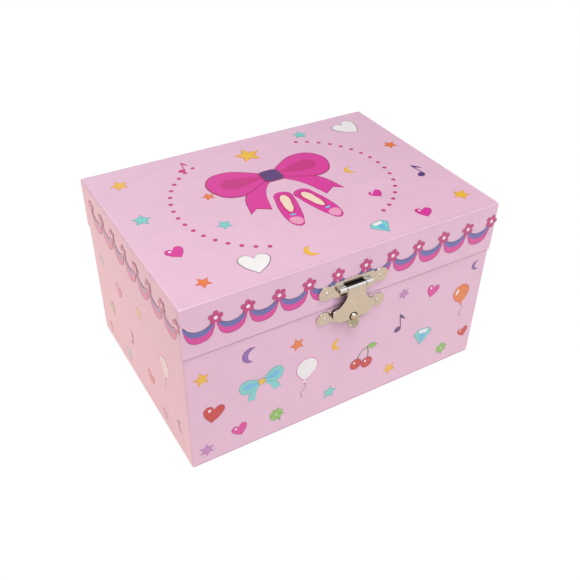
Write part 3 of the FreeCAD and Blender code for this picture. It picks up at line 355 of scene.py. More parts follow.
def gapsTo(material, low, high):
    # Distance to the nearer of the two box faces on each axis
    gaps = []
    for value, small, large in zip(axesOf(material), low, high):
        near = mathOn("SUBTRACT", value, small)
        far = mathOn("SUBTRACT", large, value)
        gaps.append(mathOn("MINIMUM", near, far))
    return gaps


def foldWearLightAndShade(material, low, high):
    # A fold is where two of the gaps are small together
    gaps = gapsTo(material, low, high)
    # Painted shade: the long folds along the front and back are darker, to tone down their highlight
    dull = fadeOn(mathOn("MAXIMUM", gaps[1], gaps[2]), *foldSet["dull"])
    paintOver(material, dull, shaded(pink, foldSet["foldShadeShare"]))
    # Paler along the side folds and upright corners, more towards the front: partly rubbed paper, partly
    # a painted highlight
    away = 1.0
    for first, second, sparing in foldSet["folds"]:
        fold = mathOn("MAXIMUM", gaps[first], gaps[second])
        away = mathOn("MINIMUM", mathOn("MULTIPLY", fold, sparing), away)
    wornAndLit = fadeOn(away, foldSet["reach"], 0)
    patches = fadeOn(noiseOn(material, *foldSet["patchGrain"]), *foldSet["patches"])
    towardsFront = fadeOn(axesOf(material)[1], *foldSet["towardsFront"])
    for share in (patches, towardsFront):
        wornAndLit = mathOn("MULTIPLY", wornAndLit, share)
    paintOver(material, wornAndLit, foldSet["wornAndLit"])


def shadeSeam(material):
    # Painted shadow: a darker line round the outside of the case just under the lid's overhang
    sideGap, frontGap = gapsTo(material, caseLow, caseHigh)[:2]
    nearest = mathOn("MINIMUM", sideGap, frontGap)
    outside = mathOn("LESS_THAN", nearest, foldSet["outside"])
    below = mathOn("SUBTRACT", caseHigh.z, axesOf(material)[2])
    line = mathOn("LESS_THAN", below, foldSet["seam"])
    paintOver(material, mathOn("MULTIPLY", outside, line), foldSet["seamShade"])


rim = Vector((0, 0, foldSet["rim"]))  # the rims at the seam stay unworn, with no painted fold light or shade
lidPaper = finish("paper", "lidPaper", pink)
foldWearLightAndShade(lidPaper, lidLow - rim, lidHigh)
casePaper = finish("paper", "casePaper", pink)
foldWearLightAndShade(casePaper, caseLow, caseHigh + rim)
shadeSeam(casePaper)
rawBoard = makeMaterial("fibreBoard", srgb(176, 152, 124), 0.85)
tintBy(rawBoard, srgb(150, 126, 98), srgb(190, 168, 140), 900, 5)
rimAway = mathOn("ABSOLUTE", mathOn("SUBTRACT", axesOf(rawBoard)[2], lidLow.z))
paintOver(rawBoard, mathOn("LESS_THAN", rimAway, foldSet["turnIn"]), pink)
blockWood = makeMaterial("blockWood", srgb(200, 160, 108), 0.6)
tintBy(blockWood, srgb(176, 132, 84), srgb(216, 180, 128), 500, 6, (0.12, 1, 1))
nickel = finish("metal", "nickelPlate", srgb(205, 201, 192), 0.2)
satinNickel = finish("metal", "satinNickel", srgb(206, 200, 190), 0.5)
knurled = finish("metal", "knurledNickel", srgb(178, 166, 138), 0.42)
polished = finish("metal", "polishedStud", srgb(196, 186, 162), 0.1, bumps=((0.003, 0.06, 700, 3),))
darkSteel = finish("metal", "darkSteel", srgb(58, 50, 46), 0.4)
steel = finish("metal", "groundSteel", srgb(176, 177, 180), 0.3, stretch=(1, 1, 9))
springSteel = finish("metal", "blueSteel", srgb(120, 126, 140), 0.28)
brass = finish("metal", "satinBrass", srgb(214, 172, 92), 0.3, stretch=(9, 1, 1))
castZinc = finish("metal", "castZinc", srgb(150, 150, 154), 0.48)
baseFelt = finish("velvet", "baseFelt", srgb(120, 74, 100))
velvetPink = finish("velvet", "velvetPink", srgb(226, 132, 176))
velvetDeep = finish("velvet", "velvetDeep", srgb(206, 96, 152))
pearlPlastic = finish("plastic", "pearlTrim", srgb(240, 222, 228), 0.22)
mirrorGlass = makeMaterial("silveredGlass", srgb(238, 241, 243), 0.02, Metallic=1.0)
print("finishes mixed")


# Stage: camera as in the photograph, white floor and soft light

white = (1, 1, 1, 1)
cameraSet = {
    "place": (-0.150046, -0.252071, 0.258364),
    "right": (0.86131, -0.50782, 0.01637),
    "up": (0.29970, 0.53380, 0.79072),
    "back": (-0.41028, -0.67614, 0.61196),
    "lens": 46.36,
    "sensor": 36,
    "nearest": 0.01,
}
lightSet = {
    "world": 0.4,
    "worldLeft": 0.25,
    "leftFade": (-0.7, 0),
    "key": {"place": (-0.1, -0.4, 1.15), "size": 0.7, "watts": 9.4, "color": (1.0, 0.98, 0.89)},
    "fill": {"place": (0.55, -0.85, 0.75), "size": 1.6, "watts": 4.3, "color": (0.66, 0.71, 1.0)},
    "aim": (0, 0, 0.04),
    "floorSize": 8,
    "floorDrop": 0.05 * mm,
    "floorWhite": 0.72,
    "floorRough": 0.9,
    "floorGlow": 1.08,
    "shadowShare": 0.12,
    "table": (0.92, 0.9, 0.9, 1),
    "warmTable": (  # axis, where the warmth starts, is full, is still full and ends, and its colour
        (1, (-0.05, -0.0545, -0.2, -0.3), (0.98, 0.8, 0.66, 1)),
        (0, (-0.073, -0.0775, -0.25, -0.4), (1.24, 0.8, 0.76, 1)),
    ),
    "roomDark": 0.14,
    "canopyFront": (-0.15, 0.3),
    "canopyBack": (0.9, 1.0),
    "canopyTurn": (0.0, -0.3),
    "backGlow": 0.5,
    "backGlowEnds": (0.6, 0.2),
}


def setCamera():
    data = bpy.data.cameras.new("boxCamera")
    data.sensor_width = cameraSet["sensor"]
    data.lens = cameraSet["lens"]
    data.clip_start = cameraSet["nearest"]
    scene.camera = newObject("boxCamera", data)
    axes = [Vector(cameraSet[name]).normalized() for name in ("right", "up", "back")]
    turn = Matrix(axes).transposed().to_4x4()
    scene.camera.matrix_world = Matrix.Translation(cameraSet["place"]) @ turn


def seenOrMirrored(material):
    # 1 for what the camera sees straight, in metal or through glass
    path = addNode(material.node_tree, "ShaderNodeLightPath")
    total = path.outputs["Is Camera Ray"]
    for name in ("Is Glossy Ray", "Is Transmission Ray"):
        total = mathOn("MAXIMUM", total, path.outputs[name])
    return total


def whiteUnlessGlossy(material, color):
    path = addNode(material.node_tree, "ShaderNodeLightPath")
    return mixColors(path.outputs["Is Glossy Ray"], white, color)


def showMix(material, output, *sources):
    # A share and the two shaders that it mixes
    mix = addNode(material.node_tree, "ShaderNodeMixShader")
    for socket, source in zip(mix.inputs, sources):
        feed(socket, source)
    setSockets(material.node_tree.nodes[output], Surface=mix.outputs["Shader"])


def setWorld():
    # Soft light all round; polished metal sees a dark room with a white canopy over the front
    world = bpy.data.worlds.new("softStudio")
    scene.world = world
    world.use_nodes = True
    light = setSockets(world.node_tree.nodes["Background"], Color=white)
    x, y, z = axesOf(world, "Generated")
    strength = fadeOn(x, *lightSet["leftFade"], lightSet["worldLeft"], lightSet["world"])
    setSockets(light, Strength=strength)
    front = fadeOn(z, *lightSet["canopyFront"])
    back = mathOn("MAXIMUM", fadeOn(z, *lightSet["canopyBack"]),
                  fadeOn(x, *lightSet["backGlowEnds"], 0, lightSet["backGlow"]))
    turn = fadeOn(y, *lightSet["canopyTurn"])
    bright = mathOn("MULTIPLY_ADD", mathOn("SUBTRACT", front, back), turn, back)
    room = fadeOn(bright, 0, 1, lightSet["roomDark"], 1)
    seen = addNode(world.node_tree, "ShaderNodeBackground", Color=whiteUnlessGlossy(world, room))
    showMix(world, "World Output", seenOrMirrored(world), light.outputs["Background"],
            seen.outputs["Background"])


def setFloor():
    # White for the camera; gloss and metal see a warmer table before the box and at its left
    floor = solid("plane", (0, 0, -lightSet["floorDrop"] / mm), size=lightSet["floorSize"])
    floor.name = "studioFloor"
    material = makeMaterial("studioFloor", shaded(white, lightSet["floorWhite"]), lightSet["floorRough"])
    axes = axesOf(material)
    color = lightSet["table"]
    for axis, (start, full, last, end), tint in lightSet["warmTable"]:
        share = mathOn("MULTIPLY", fadeOn(axes[axis], start, full),
                       fadeOn(axes[axis], end, last))
        color = mixColors(share, color, tint)
    glow = addNode(material.node_tree, "ShaderNodeEmission", Strength=lightSet["floorGlow"],
                   Color=whiteUnlessGlossy(material, color))
    share = mathOn("MULTIPLY", seenOrMirrored(material), 1 - lightSet["shadowShare"])
    showMix(material, "Material Output", share, shaderOf(material).outputs["BSDF"],
            glow.outputs["Emission"])
    coat(floor, material)


def setLamp(name, place, size, watts, color):
    data = bpy.data.lights.new(name, "AREA")
    data.size, data.energy, data.color = size, watts, color
    lamp = newObject(name, data)
    lamp.location = place
    lamp.rotation_euler = (Vector(lightSet["aim"]) - lamp.location).to_track_quat("-Z", "Y").to_euler()


scene.view_settings.view_transform = "Standard"
setCamera()
setWorld()
setFloor()
for name in ("key", "fill"):
    setLamp(name, **lightSet[name])
print("camera, floor and light set")


# Printed paper

inkSet = {"thick": 0.03 * mm, "step": 0.03 * mm, "overlap": 0.18}
inkColors = {
    "magenta": (208, 10, 132), "hotPink": (227, 34, 160), "darkMagenta": (168, 14, 100),
    "slateBlue": (92, 98, 178), "darkBlue": (52, 50, 112), "white": (250, 247, 248),
    "red": (208, 24, 38), "orange": (240, 124, 48), "yellow": (247, 194, 48),
    "turquoise": (124, 216, 214), "teal": (52, 138, 148), "green": (138, 200, 92),
    "darkGreen": (66, 124, 50), "purple": (140, 94, 178), "violet": (82, 42, 118),
    "sky": (102, 194, 237), "cream": (252, 226, 202), "softPink": (246, 160, 200),
    "grey": (140, 106, 130), "lilac": (206, 134, 198),
}
inks = {name: finish("paper", name + "Ink", srgb(*color)) for name, color in inkColors.items()}


def flatCurve(outlines, thick):
    # A third value on a point makes it a sharp corner; outlines inside the first are holes
    curve = newCurve("flatCurve", "2D", fill_mode="BOTH", resolution_u=5, extrude=thick / 2)
    for outline in outlines:
        addSpline(curve, [(x, y, 0, 1, *sharp) for x, y, *sharp in outline], closed=True)
    return newObject("flatCurve", curve)


def inkMesh(shape, ink, layer):
    shape.location.z = layer * inkSet["step"] + inkSet["thick"] / 2
    return coat(toMesh(shape), inks[ink])


def inkShape(outline, ink, layer=0):
    return inkMesh(flatCurve([outline], inkSet["thick"]), ink, layer)


def inkLine(points, wide, ink, layer=0):
    curve = newCurve("inkLine", "3D", resolution_u=5, bevel_depth=wide / 2 * mm, bevel_resolution=0,
                     use_fill_caps=True)
    addSpline(curve, [(*point[:2], 0, 1) for point in points])
    line = newObject("inkLine", curve)
    line.scale.z = inkSet["thick"] / (wide * mm)
    return inkMesh(line, ink, layer)


def ring(count, radii, centre=(0, 0)):
    # Outline that goes round through the given radii in turn, from the top
    points = []
    for step in range(count):
        angle = math.radians(90 + 360 / count * step)
        radius = radii[step % len(radii)]
        points.append((centre[0] + radius * math.cos(angle), centre[1] + radius * math.sin(angle)))
    return points


def bothSides(half):
    # Along the right side from end to end, and back along its mirror image
    return half + flipped(half[-2:0:-1], -1)


def dot(x, y, radius, ink, layer=0):
    return inkShape(ring(8, (radius,), (x, y)), ink, layer)


def grown(outline, reach):
    # The same outline, pushed out from its middle
    middle = Vector([sum(point[axis] for point in outline) / len(outline) for axis in (0, 1)])
    points = []
    for x, y, *sharp in outline:
        way = Vector((x, y)) - middle
        points.append((*(middle + way * (1 + reach / max(way.length, 0.1))), *sharp))
    return points


def outlined(outline, ink, edge, reach=0.25, layer=0, rise=1):
    return [inkShape(grown(outline, reach), edge, layer), inkShape(outline, ink, layer + rise)]


def spun(outline, turn):
    way = Matrix.Rotation(math.radians(turn), 2)
    return [(*(way @ Vector((x, y))), *sharp) for x, y, *sharp in outline]


def rosette():
    petal = bothSides([(0, 0.2), (0.82, 1.4), (0.98, 2.6), (0, 3.35)])
    lift = inkSet["overlap"]
    pieces = []
    for step in range(5):
        turned = spun(petal, 72 * step)
        pieces += outlined(turned, "magenta", "darkMagenta", 0.22, 4 + 2 * lift * step, lift)
    return pieces + [dot(0, 0, 0.9, "white", 6)]


festoonSet = {
    "pitch": 13.7, "level": 79.3, "rosette": 0.92, "turn": 25,
    "drape": (((0.2, -1.8), (3.0, -5.6), -6.7), ((0.4, -3.6), (2.6, -8.4), -9.9)),
    "band": (((0.1, 0.2), (3.2, -3.2), -4.2), ((0.2, -2.0), (3.0, -5.7), -6.8)),
    "rows": {  # first rosette, how many, and a swag before the first or not
        "lidFront": (-62.7, 11, True), "lidLeft": (-43.4, 8, False),
        "lidRight": (-47.5, 8, False), "lidBack": (-68.5, 11, False),
    },
}


def hung(end, side, low):
    # From one end of a swag over its lowest point to the other end
    pitch = festoonSet["pitch"]
    row = [(*end, 1), side, (pitch / 2, low)]
    return row + [(pitch - x, *rest) for x, *rest in row[1::-1]]


def swag():
    drapeTop, drapeFoot = (hung(*row) for row in festoonSet["drape"])
    bandTop, bandFoot = (hung(*row) for row in festoonSet["band"])
    return [inkShape(drapeTop + drapeFoot[::-1], "hotPink", 1),
            inkShape(bandTop + bandFoot[::-1], "slateBlue", 2),
            inkLine(bandTop, 0.3, "darkBlue", 3),
            inkLine(drapeFoot[::-1], 0.16, "darkMagenta", 3)]


def heart(ink, edge):
    shape = bothSides([(0, 2.1, 1), (1.6, 3.6), (3.6, 2.6), (3.2, 0.0), (0, -3.6, 1)])
    return outlined(shape, ink, edge) + [dot(-1.7, 2.0, 0.6, "white", 2)]


def star(ink, edge, points=5):
    shape = [(*spot, 1) for spot in ring(points * 2, (3.8, 1.7))]
    return outlined(shape, ink, edge, 0.3)


def moon(ink, edge):
    shape = [(1.6, 3.6, 1), (-1.6, 3.3), (-3.6, 0.4), (-1.9, -3.0), (1.6, -3.4, 1), (-0.6, -1.9),
             (-1.1, 0.4), (-0.1, 2.4)]
    return outlined(shape, ink, edge, 0.22)


def balloon(ink, edge):
    shape = bothSides([(0, 6.4), (3.6, 4.6), (4.2, 1.2), (2.2, -2.2), (0, -3.6)])
    knot = [(0, -3.5, 1), (1.0, -5.0, 1), (-1.0, -5.0, 1)]
    shine = [(-2.4, 4.2), (-1.5, 4.6), (-2.3, 2.2), (-3.0, 2.0)]
    string = [(0, -4.9), (0.9, -7.4), (-0.7, -10.0), (0.3, -12.6)]
    return (outlined(shape, ink, edge) + outlined(knot, ink, edge, 0.2)
            + [inkShape(shine, "white", 2), inkLine(string, 0.28, "grey")])


def cherries(ink, edge):
    pieces = [inkLine([(-2.2, -1.0), (-1.2, 2.2), (1.4, 4.6)], 0.45, "darkGreen"),
              inkLine([(2.6, -1.6), (2.4, 1.8), (1.4, 4.6)], 0.45, "darkGreen")]
    for x, y in ((-2.4, -2.6), (2.6, -3.2)):
        pieces += outlined(ring(8, (2.3,), (x, y)), ink, edge, 0.25, 1)
        pieces.append(dot(x - 0.8, y + 0.8, 0.5, "white", 3))
    leaf = [(1.4, 4.6, 1), (3.4, 5.6), (6.2, 4.4, 1), (3.8, 3.4)]
    return pieces + outlined(leaf, "green", "darkGreen", 0.2)


def clover(ink, edge):
    pieces = [inkLine([(0, 0), (0.5, -2.6), (1.8, -5.0)], 0.6, edge)]
    lobe = bothSides([(0, 0.2, 1), (1.7, 1.7), (1.4, 3.6), (0, 2.9, 1)])
    lift = inkSet["overlap"]
    for step in range(4):
        pieces += outlined(spun(lobe, 45 + 90 * step), ink, edge, 0.2, lift * (2 * step + 1), lift)
    return pieces + [dot(0, 0, 0.5, "white", 2)]


def gem(ink, edge):
    shape = [(-4.2, 1.2, 1), (-2.4, 3.4, 1), (2.4, 3.4, 1), (4.2, 1.2, 1), (0, -4.2, 1)]
    face = [(-1.7, 1.2, 1), (1.7, 1.2, 1), (0, -3.9, 1)]
    table = [(-2.2, 3.1, 1), (2.2, 3.1, 1), (1.7, 1.4, 1), (-1.7, 1.4, 1)]
    return outlined(shape, ink, edge) + [inkShape(face, "sky", 2), inkShape(table, "white", 2)]


def note(ink):
    flag = [(1.2, 4.6, 1), (2.6, 3.0), (3.6, 0.6, 1), (2.2, 1.8), (1.2, 2.6, 1)]
    head = [(1.3, -2.8), (0.2, -1.6), (-1.6, -2.2), (-2.0, -3.6), (-0.6, -4.4), (0.9, -3.9)]
    stem = [(0.8, -2.9, 1), (1.3, -2.9, 1), (1.3, 4.6, 1), (0.8, 4.6, 1)]
    return [inkShape(outline, ink) for outline in (flag, head)] + [inkShape(stem, ink, 1)]


def bow(ink, edge, fold, knot):
    tail = [(0.6, -1.4, 1), (5.2, -6.4), (8.0, -14.6, 1), (11.0, -12.6, 1), (13.6, -14.4, 1),
            (10.6, -6.2), (3.0, -0.6, 1)]
    loop = [(0, 0, 1), (4.5, 4.0), (11.5, 7.2), (16.5, 5.0), (17.2, -1.0), (13.0, -5.4), (5.5, -3.2)]
    inner = [(2.0, 0.4, 1), (8.0, 2.6), (13.4, 3.0), (13.8, -0.6), (8.4, -1.6)]
    middle = bothSides([(0, 2.6), (2.3, 2.2), (2.6, 0), (2.3, -2.2), (0, -2.6)])
    pieces = []
    for side in (-1, 1):
        pieces += outlined(flipped(tail, side), ink, edge, 0.3)
        pieces += outlined(flipped(loop, side), ink, edge, 0.3, 2)
        pieces.append(inkShape(flipped(inner, side), fold, 4))
    return pieces + outlined(middle, knot, edge, 0.3, 5)


def slipper(side):
    # One dancing shoe seen from above, toe down
    sole = [(0, 13.0), (3.4, 11.6), (4.2, 6.0), (4.0, -2.0), (3.4, -9.0), (1.6, -13.6), (-0.6, -13.4),
            (-3.2, -9.0), (-4.2, -2.0), (-4.2, 6.0), (-3.2, 11.6)]
    opening = bothSides([(0, 11.4), (2.5, 9.6), (2.7, 3.6), (1.9, -2.6), (0, -4.6)])
    lining = bothSides([(0, 10.4), (1.7, 8.6), (1.9, 3.6), (1.2, -1.6), (0, -3.2)])
    toe = [(-2.4, -8.4), (0, -7.2), (2.6, -8.6), (1.4, -12.8), (-0.4, -12.7)]
    tie = [(-1.6, -5.4, 1), (0, -4.6), (1.6, -5.4, 1), (0, -6.0)]
    pieces = outlined(flipped(sole, side), "hotPink", "darkMagenta", 0.35)
    for outline, ink, layer in ((opening, "magenta", 2), (lining, "cream", 3), (toe, "softPink", 2),
                                (tie, "sky", 3)):
        pieces.append(inkShape(flipped(outline, side), ink, layer))
    return pieces


motifs = {
    "swag": swag(),
    "rosette": rosette(),
    "redHeart": heart("red", "darkMagenta"),
    "pinkHeart": heart("hotPink", "darkMagenta"),
    "whiteHeart": heart("white", "grey"),
    "yellowStar": star("yellow", "orange"),
    "orangeStar": star("orange", "red"),
    "skyStar": star("turquoise", "teal"),
    "lilacStar": star("lilac", "purple", 6),
    "purpleMoon": moon("purple", "violet"),
    "yellowMoon": moon("yellow", "orange"),
    "whiteBalloon": balloon("white", "hotPink"),
    "orangeBalloon": balloon("orange", "red"),
    "redCherries": cherries("red", "darkMagenta"),
    "greenClover": clover("green", "darkGreen"),
    "skyGem": gem("turquoise", "teal"),
    "violetNote": note("violet"),
    "magentaNote": note("magenta"),
    "skyBow": bow("turquoise", "teal", "sky", "yellow"),
    "bigBow": bow("hotPink", "darkMagenta", "magenta", "violet"),
    "leftShoe": slipper(1),
    "rightShoe": slipper(-1),
    "pearl": [dot(0, 0, 1.0, "darkMagenta"), dot(0, 0, 0.72, "hotPink", 1)],
}
motifs = {name: join(pieces) for name, pieces in motifs.items()}
print("print motifs drawn,", len(motifs))


def panel(corner, across, up, body):
    across, up = Vector(across), Vector(up)
    axes = Matrix((across, up, across.cross(up))).transposed().to_4x4()
    return {"matrix": Matrix.Translation(corner) @ axes, "body": body, "stamps": []}


panels = {"lidTop": panel((0, 0, lidHigh.z), (1, 0, 0), (0, 1, 0), "lid")}
for body, low, high in (("lid", lidLow, lidHigh), ("case", caseLow, caseHigh)):
    sides = {"Front": ((0, low.y, 0), (1, 0, 0)), "Left": ((low.x, 0, 0), (0, -1, 0)),
             "Right": ((high.x, 0, 0), (0, 1, 0)), "Back": ((0, high.y, 0), (-1, 0, 0))}
    for side, (corner, across) in sides.items():
        panels[body + side] = panel(corner, across, (0, 0, 1), body)


def stamp(side, name, across, up, size=1.0, turn=0):
    copy = copyOf(motifs[name])
    local = Matrix.Translation((across * mm, up * mm, 0)) @ Matrix.Rotation(math.radians(turn), 4, "Z")
    copy.data.transform(panels[side]["matrix"] @ local @ Matrix.Scale(size, 4))
    panels[side]["stamps"].append(copy)


def festoon(side, first, count, leading):
    pitch, level, most = festoonSet["pitch"], festoonSet["level"], festoonSet["turn"]
    for step in range(-1 if leading else 0, count - 1):
        stamp(side, "swag", first + pitch * step, level)
    for step in range(count):
        turn = random.uniform(-most, most)
        stamp(side, "rosette", first + pitch * step, level, festoonSet["rosette"], turn)


for side, row in festoonSet["rows"].items():
    festoon(side, *row)

# Two pearl garlands on the lid, with dancing shoes hung from a bow between them
garlandSet = {"pearls": 17, "start": -68, "step": 8.5, "middle": (14, 2), "reach": (38, 40)}
(middleX, middleY), (reachX, reachY) = garlandSet["middle"], garlandSet["reach"]
for side in (-1, 1):
    for step in range(garlandSet["pearls"]):
        angle = math.radians(garlandSet["start"] + garlandSet["step"] * step)
        across = side * (middleX + reachX * math.cos(angle))
        stamp("lidTop", "pearl", across, middleY + reachY * math.sin(angle))
# Motif, place across and up, size and turn
scatter = {
    "lidTop": [
        ("leftShoe", -6.4, -13.5, 1.05, -14), ("rightShoe", 7.4, -15.5, 1.05, 12),
        ("bigBow", 0.5, 15.0, 1.75), ("yellowStar", -64, 40, 1.1, 10), ("skyStar", -66, 8, 1.1, -12),
        ("pinkHeart", -63, -21, 1.0, 12), ("orangeStar", -62, -44, 0.9, 20),
        ("whiteHeart", -39, -43, 1.7, -14), ("yellowMoon", -15, -46, 0.9, 10),
        ("skyGem", 20, -45, 1.1, 8), ("pinkHeart", 43, -45, 0.95, -14),
        ("yellowStar", 67, -41, 1.1, 24), ("violetNote", 63, -14, 1.2, 6),
        ("orangeStar", 68, 14, 0.95, 12), ("whiteHeart", 60, 40, 1.8, 16),
        ("skyStar", 34, 45, 1.0, -18), ("magentaNote", -33, 42, 1.05, -8),
        ("yellowMoon", 36, 2, 0.8, 0), ("skyStar", -37, -12, 0.9, 14), ("orangeStar", -33, 12, 0.8, 4),
        ("pinkHeart", 34, -22, 0.8, 10), ("yellowStar", 0.5, 38, 1.7, 0),
    ],
    "caseFront": [
        ("yellowStar", -70, 50, 0.95, 12), ("purpleMoon", -48, 53, 1.05, -10),
        ("skyBow", -43, 36, 0.6, 8), ("redHeart", -66, 28, 1.25, -12), ("orangeStar", -26, 49, 0.9, 20),
        ("pinkHeart", -54, 12, 0.95, 14), ("whiteBalloon", -21, 31, 1.2, -8),
        ("greenClover", -36, 12, 0.95, 6), ("lilacStar", -70, 8, 0.95, 0),
        ("yellowMoon", -5, 40, 0.85, 12), ("skyStar", -8, 12, 1.0, -8),
        ("redCherries", 9, 26, 1.25, -6), ("violetNote", 28, 38, 1.15, 8),
        ("yellowStar", 26, 11, 0.95, 30), ("skyGem", 44, 24, 1.25, -6), ("pinkHeart", 46, 50, 0.9, -16),
        ("lilacStar", 29, 55, 0.8, 12), ("orangeBalloon", 65, 40, 1.05, 8),
        ("greenClover", 58, 10, 0.85, -12), ("redHeart", 71, 15, 0.8, 14),
        ("purpleMoon", 71, 56, 0.7, 8),
    ],
    "caseLeft": [
        ("skyStar", -42, 50, 0.9, 8), ("pinkHeart", -20, 46, 1.0, -10), ("yellowStar", 6, 52, 0.85, 14),
        ("whiteBalloon", 32, 40, 1.1, -6), ("greenClover", -36, 26, 0.9, 6),
        ("violetNote", -10, 26, 1.0, 8), ("redHeart", 12, 18, 1.0, -14), ("purpleMoon", 44, 16, 0.9, 6),
        ("orangeStar", -44, 8, 0.85, 0), ("skyGem", -18, 9, 0.9, 8), ("lilacStar", 26, 8, 0.85, 10),
    ],
    "caseBack": [
        ("pinkHeart", -66, 46, 0.9, 8), ("yellowStar", -34, 50, 0.9, -10), ("skyBow", -24, 30, 0.5, -6),
        ("purpleMoon", -62, 20, 0.9, 8), ("greenClover", -42, 12, 0.8, 0),
        ("skyStar", -20, 10, 0.85, 12), ("redHeart", 0, 46, 0.95, 10), ("orangeStar", 24, 10, 0.85, 6),
        ("whiteBalloon", 34, 36, 1.0, 6), ("violetNote", 62, 48, 1.0, -8),
        ("redCherries", 54, 22, 0.95, 8), ("lilacStar", 68, 9, 0.85, 14),
    ],
}
scatter["caseRight"] = scatter["caseLeft"]
for side in panels:
    for row in scatter.get(side, ()):
        stamp(side, *row)
for side, facts in panels.items():
    finishPiece(join(facts["stamps"]), side + "Print", facts["body"])
for piece in motifs.values():
    bpy.data.objects.remove(piece)
dress(lidPaper, "lid_wrap")
dress(casePaper, "case_wrap")
print("paper printed on", len(panels), "panels")


# Metal fittings: the pressed edges of the solids are eased

easeSet = {"flat": 0.5, "sharp": 30, "board": 0.5, "pin": 0.2}
latchSet = {
    "stud": (0, -57.15, 56.1), "studRadius": 1.7, "studRise": 1.5, "shadeRing": 1.06, "ringShadeWidth": 0.28,
    "tongue": (0, -57.95, 53.6), "tongueRadius": 2.45, "tongueLean": 22, "tongueTop": 54.6,
    "ribs": 9, "ribSpread": 200, "ribLong": 1.1, "ribWide": 0.2,
    "slot": (4.7, 0.15, 1.75), "slotPlace": (0, -55.17, 72), "slotEdge": 0.1,
    "rollFoot": 69, "rollTop": 0.85, "cutSide": 0.6,
}
fittings = {
    "latch_plate": ("lid", 0.22), "catch_plate": ("case", 0.22), "latch_hasp": ("hasp", 0.22),
    "left_hinge_case_leaf": ("case", 0.15), "right_hinge_case_leaf": ("case", 0.15),
    "left_hinge_lid_leaf": ("lid", 0.15), "right_hinge_lid_leaf": ("lid", 0.15),
    "winding_key": ("winder", 0.3),
}


def easedCopy(name, edge, segments=2):
    piece = closeUp(copyOf(nodes[name]))
    edit(piece)
    bpy.ops.mesh.dissolve_limited(angle_limit=math.radians(easeSet["flat"]))
    leave()
    modify(piece, "BEVEL", width=edge * mm, segments=segments, limit_method="ANGLE",
           angle_limit=math.radians(easeSet["sharp"]), use_clamp_overlap=True)
    smooth(piece)
    modify(piece, "WEIGHTED_NORMAL", keep_sharp=True)
    return piece


def finishHasp(piece):
    # The cut sides are dark steel, partly bare edge and partly painted shade; the top of the roll is
    # dark steel as painted shade, and the thumb tongue is knurled
    for material in (darkSteel, knurled):
        piece.data.materials.append(material)
    for face in piece.data.polygons:
        level = face.center.z / mm
        onTop, onSide = face.normal.z > latchSet["rollTop"], abs(face.normal.x) > latchSet["cutSide"]
        if level < latchSet["tongueTop"]:
            face.material_index = 2
        elif onTop if level > latchSet["rollFoot"] else onSide:
            face.material_index = 1


def polishedStud():
    radius = latchSet["studRadius"]
    dome = solid("uv_sphere", segments=32, ring_count=16, radius=radius * mm)
    edit(dome)
    bpy.ops.mesh.bisect(plane_co=(0, 0, 0), plane_no=(0, 1, 0), use_fill=True, clear_outer=True)
    leave()
    putAt(dome, latchSet["stud"], (1, latchSet["studRise"] / radius, 1))
    # A dark steel ring round the dome: painted shade round the stud
    shadeRing = solid("torus", latchSet["stud"], turn=(math.radians(90), 0, 0), major_segments=40,
                   major_radius=radius * latchSet["shadeRing"] * mm, minor_segments=10,
                   minor_radius=latchSet["ringShadeWidth"] * mm)
    coat(smooth(dome), polished)
    coat(smooth(shadeRing), darkSteel)
    finishPiece(join([dome, shadeRing]), "haspStud", "hasp")


def tongueRibs():
    count, wide = latchSet["ribs"], latchSet["ribWide"]
    stretch = (1, 1, latchSet["ribLong"] / wide / 2)
    ribs = []
    for step in range(count):
        turn = latchSet["ribSpread"] * (step / (count - 1) - 0.5)
        rib = solid("uv_sphere", (0, 0, -latchSet["tongueRadius"]), stretch, segments=10, ring_count=6,
                    radius=wide * mm)
        rib.data.transform(Matrix.Rotation(math.radians(turn), 4, "Y"))
        ribs.append(rib)
    lean = math.radians(-latchSet["tongueLean"])
    piece = putAt(join(ribs), latchSet["tongue"], turn=(lean, 0, 0))
    finishPiece(smooth(piece, tubeAngle), "haspRibs", "hasp", nickel)


def slotShadeSheet():
    # Painted shade: a dark plate behind the slot in the latch plate, where the slot is in shadow
    plate = solid("cube", latchSet["slotPlace"], latchSet["slot"], size=2 * mm)
    modify(plate, "BEVEL", width=latchSet["slotEdge"] * mm, segments=2)
    finishPiece(plate, "latchBack", "lid", darkSteel)


for name, (body, edge) in fittings.items():
    fitting = finishPiece(easedCopy(name, edge), pieceName(name), body, nickel, (name,))
    if name == "latch_hasp":
        finishHasp(fitting)
dress(nickel, "left_hinge_pin", "right_hinge_pin")
dress(satinNickel, "case_nails", "lid_nails")
# The latch pin is dark steel, partly its own colour and partly painted shade, so its end reads as the
# dark hollow of the roll
dress(darkSteel, "latch_pin")
polishedStud()
tongueRibs()
slotShadeSheet()
print("fittings eased")


# Boards and movement

dress(rawBoard, "case_front", "case_back", "case_left", "case_right", "case_floor", "lid_front",
      "lid_back", "lid_left", "lid_right", "lid_panel")
dress(baseFelt, "base_sheet")
dress(velvetPink, "case_lining", "lid_lining")
dress(blockWood, "movement_block")
dress(castZinc, "bedplate")
dress(brass, "spring_barrel", "music_cylinder", "cylinder_wheel", "spindle_bush", "governor")
dress(steel, "cylinder_arbor", "comb", "comb_screws", "movement_screws", "movement_bracket",
      "winding_arbor", "stop_wire")
dress(springSteel, "mainspring")
for name in ("stage_front", "stage_left", "stage_right", "stage_deck", "divider", "ring_base"):
    cloth = velvetDeep if name.startswith("stage") else velvetPink
    piece = easedCopy(name, easeSet["board"], 3)
    finishPiece(piece, pieceName(name) + "Velvet", "case", cloth, (name,))
finishPiece(easedCopy("spindle", easeSet["pin"], 3), "turntablePin", "turntable", brass,
            ("spindle",))
print("boards, velvet and movement dressed")


# Paper lace on the stage and a flocked trim round both rims

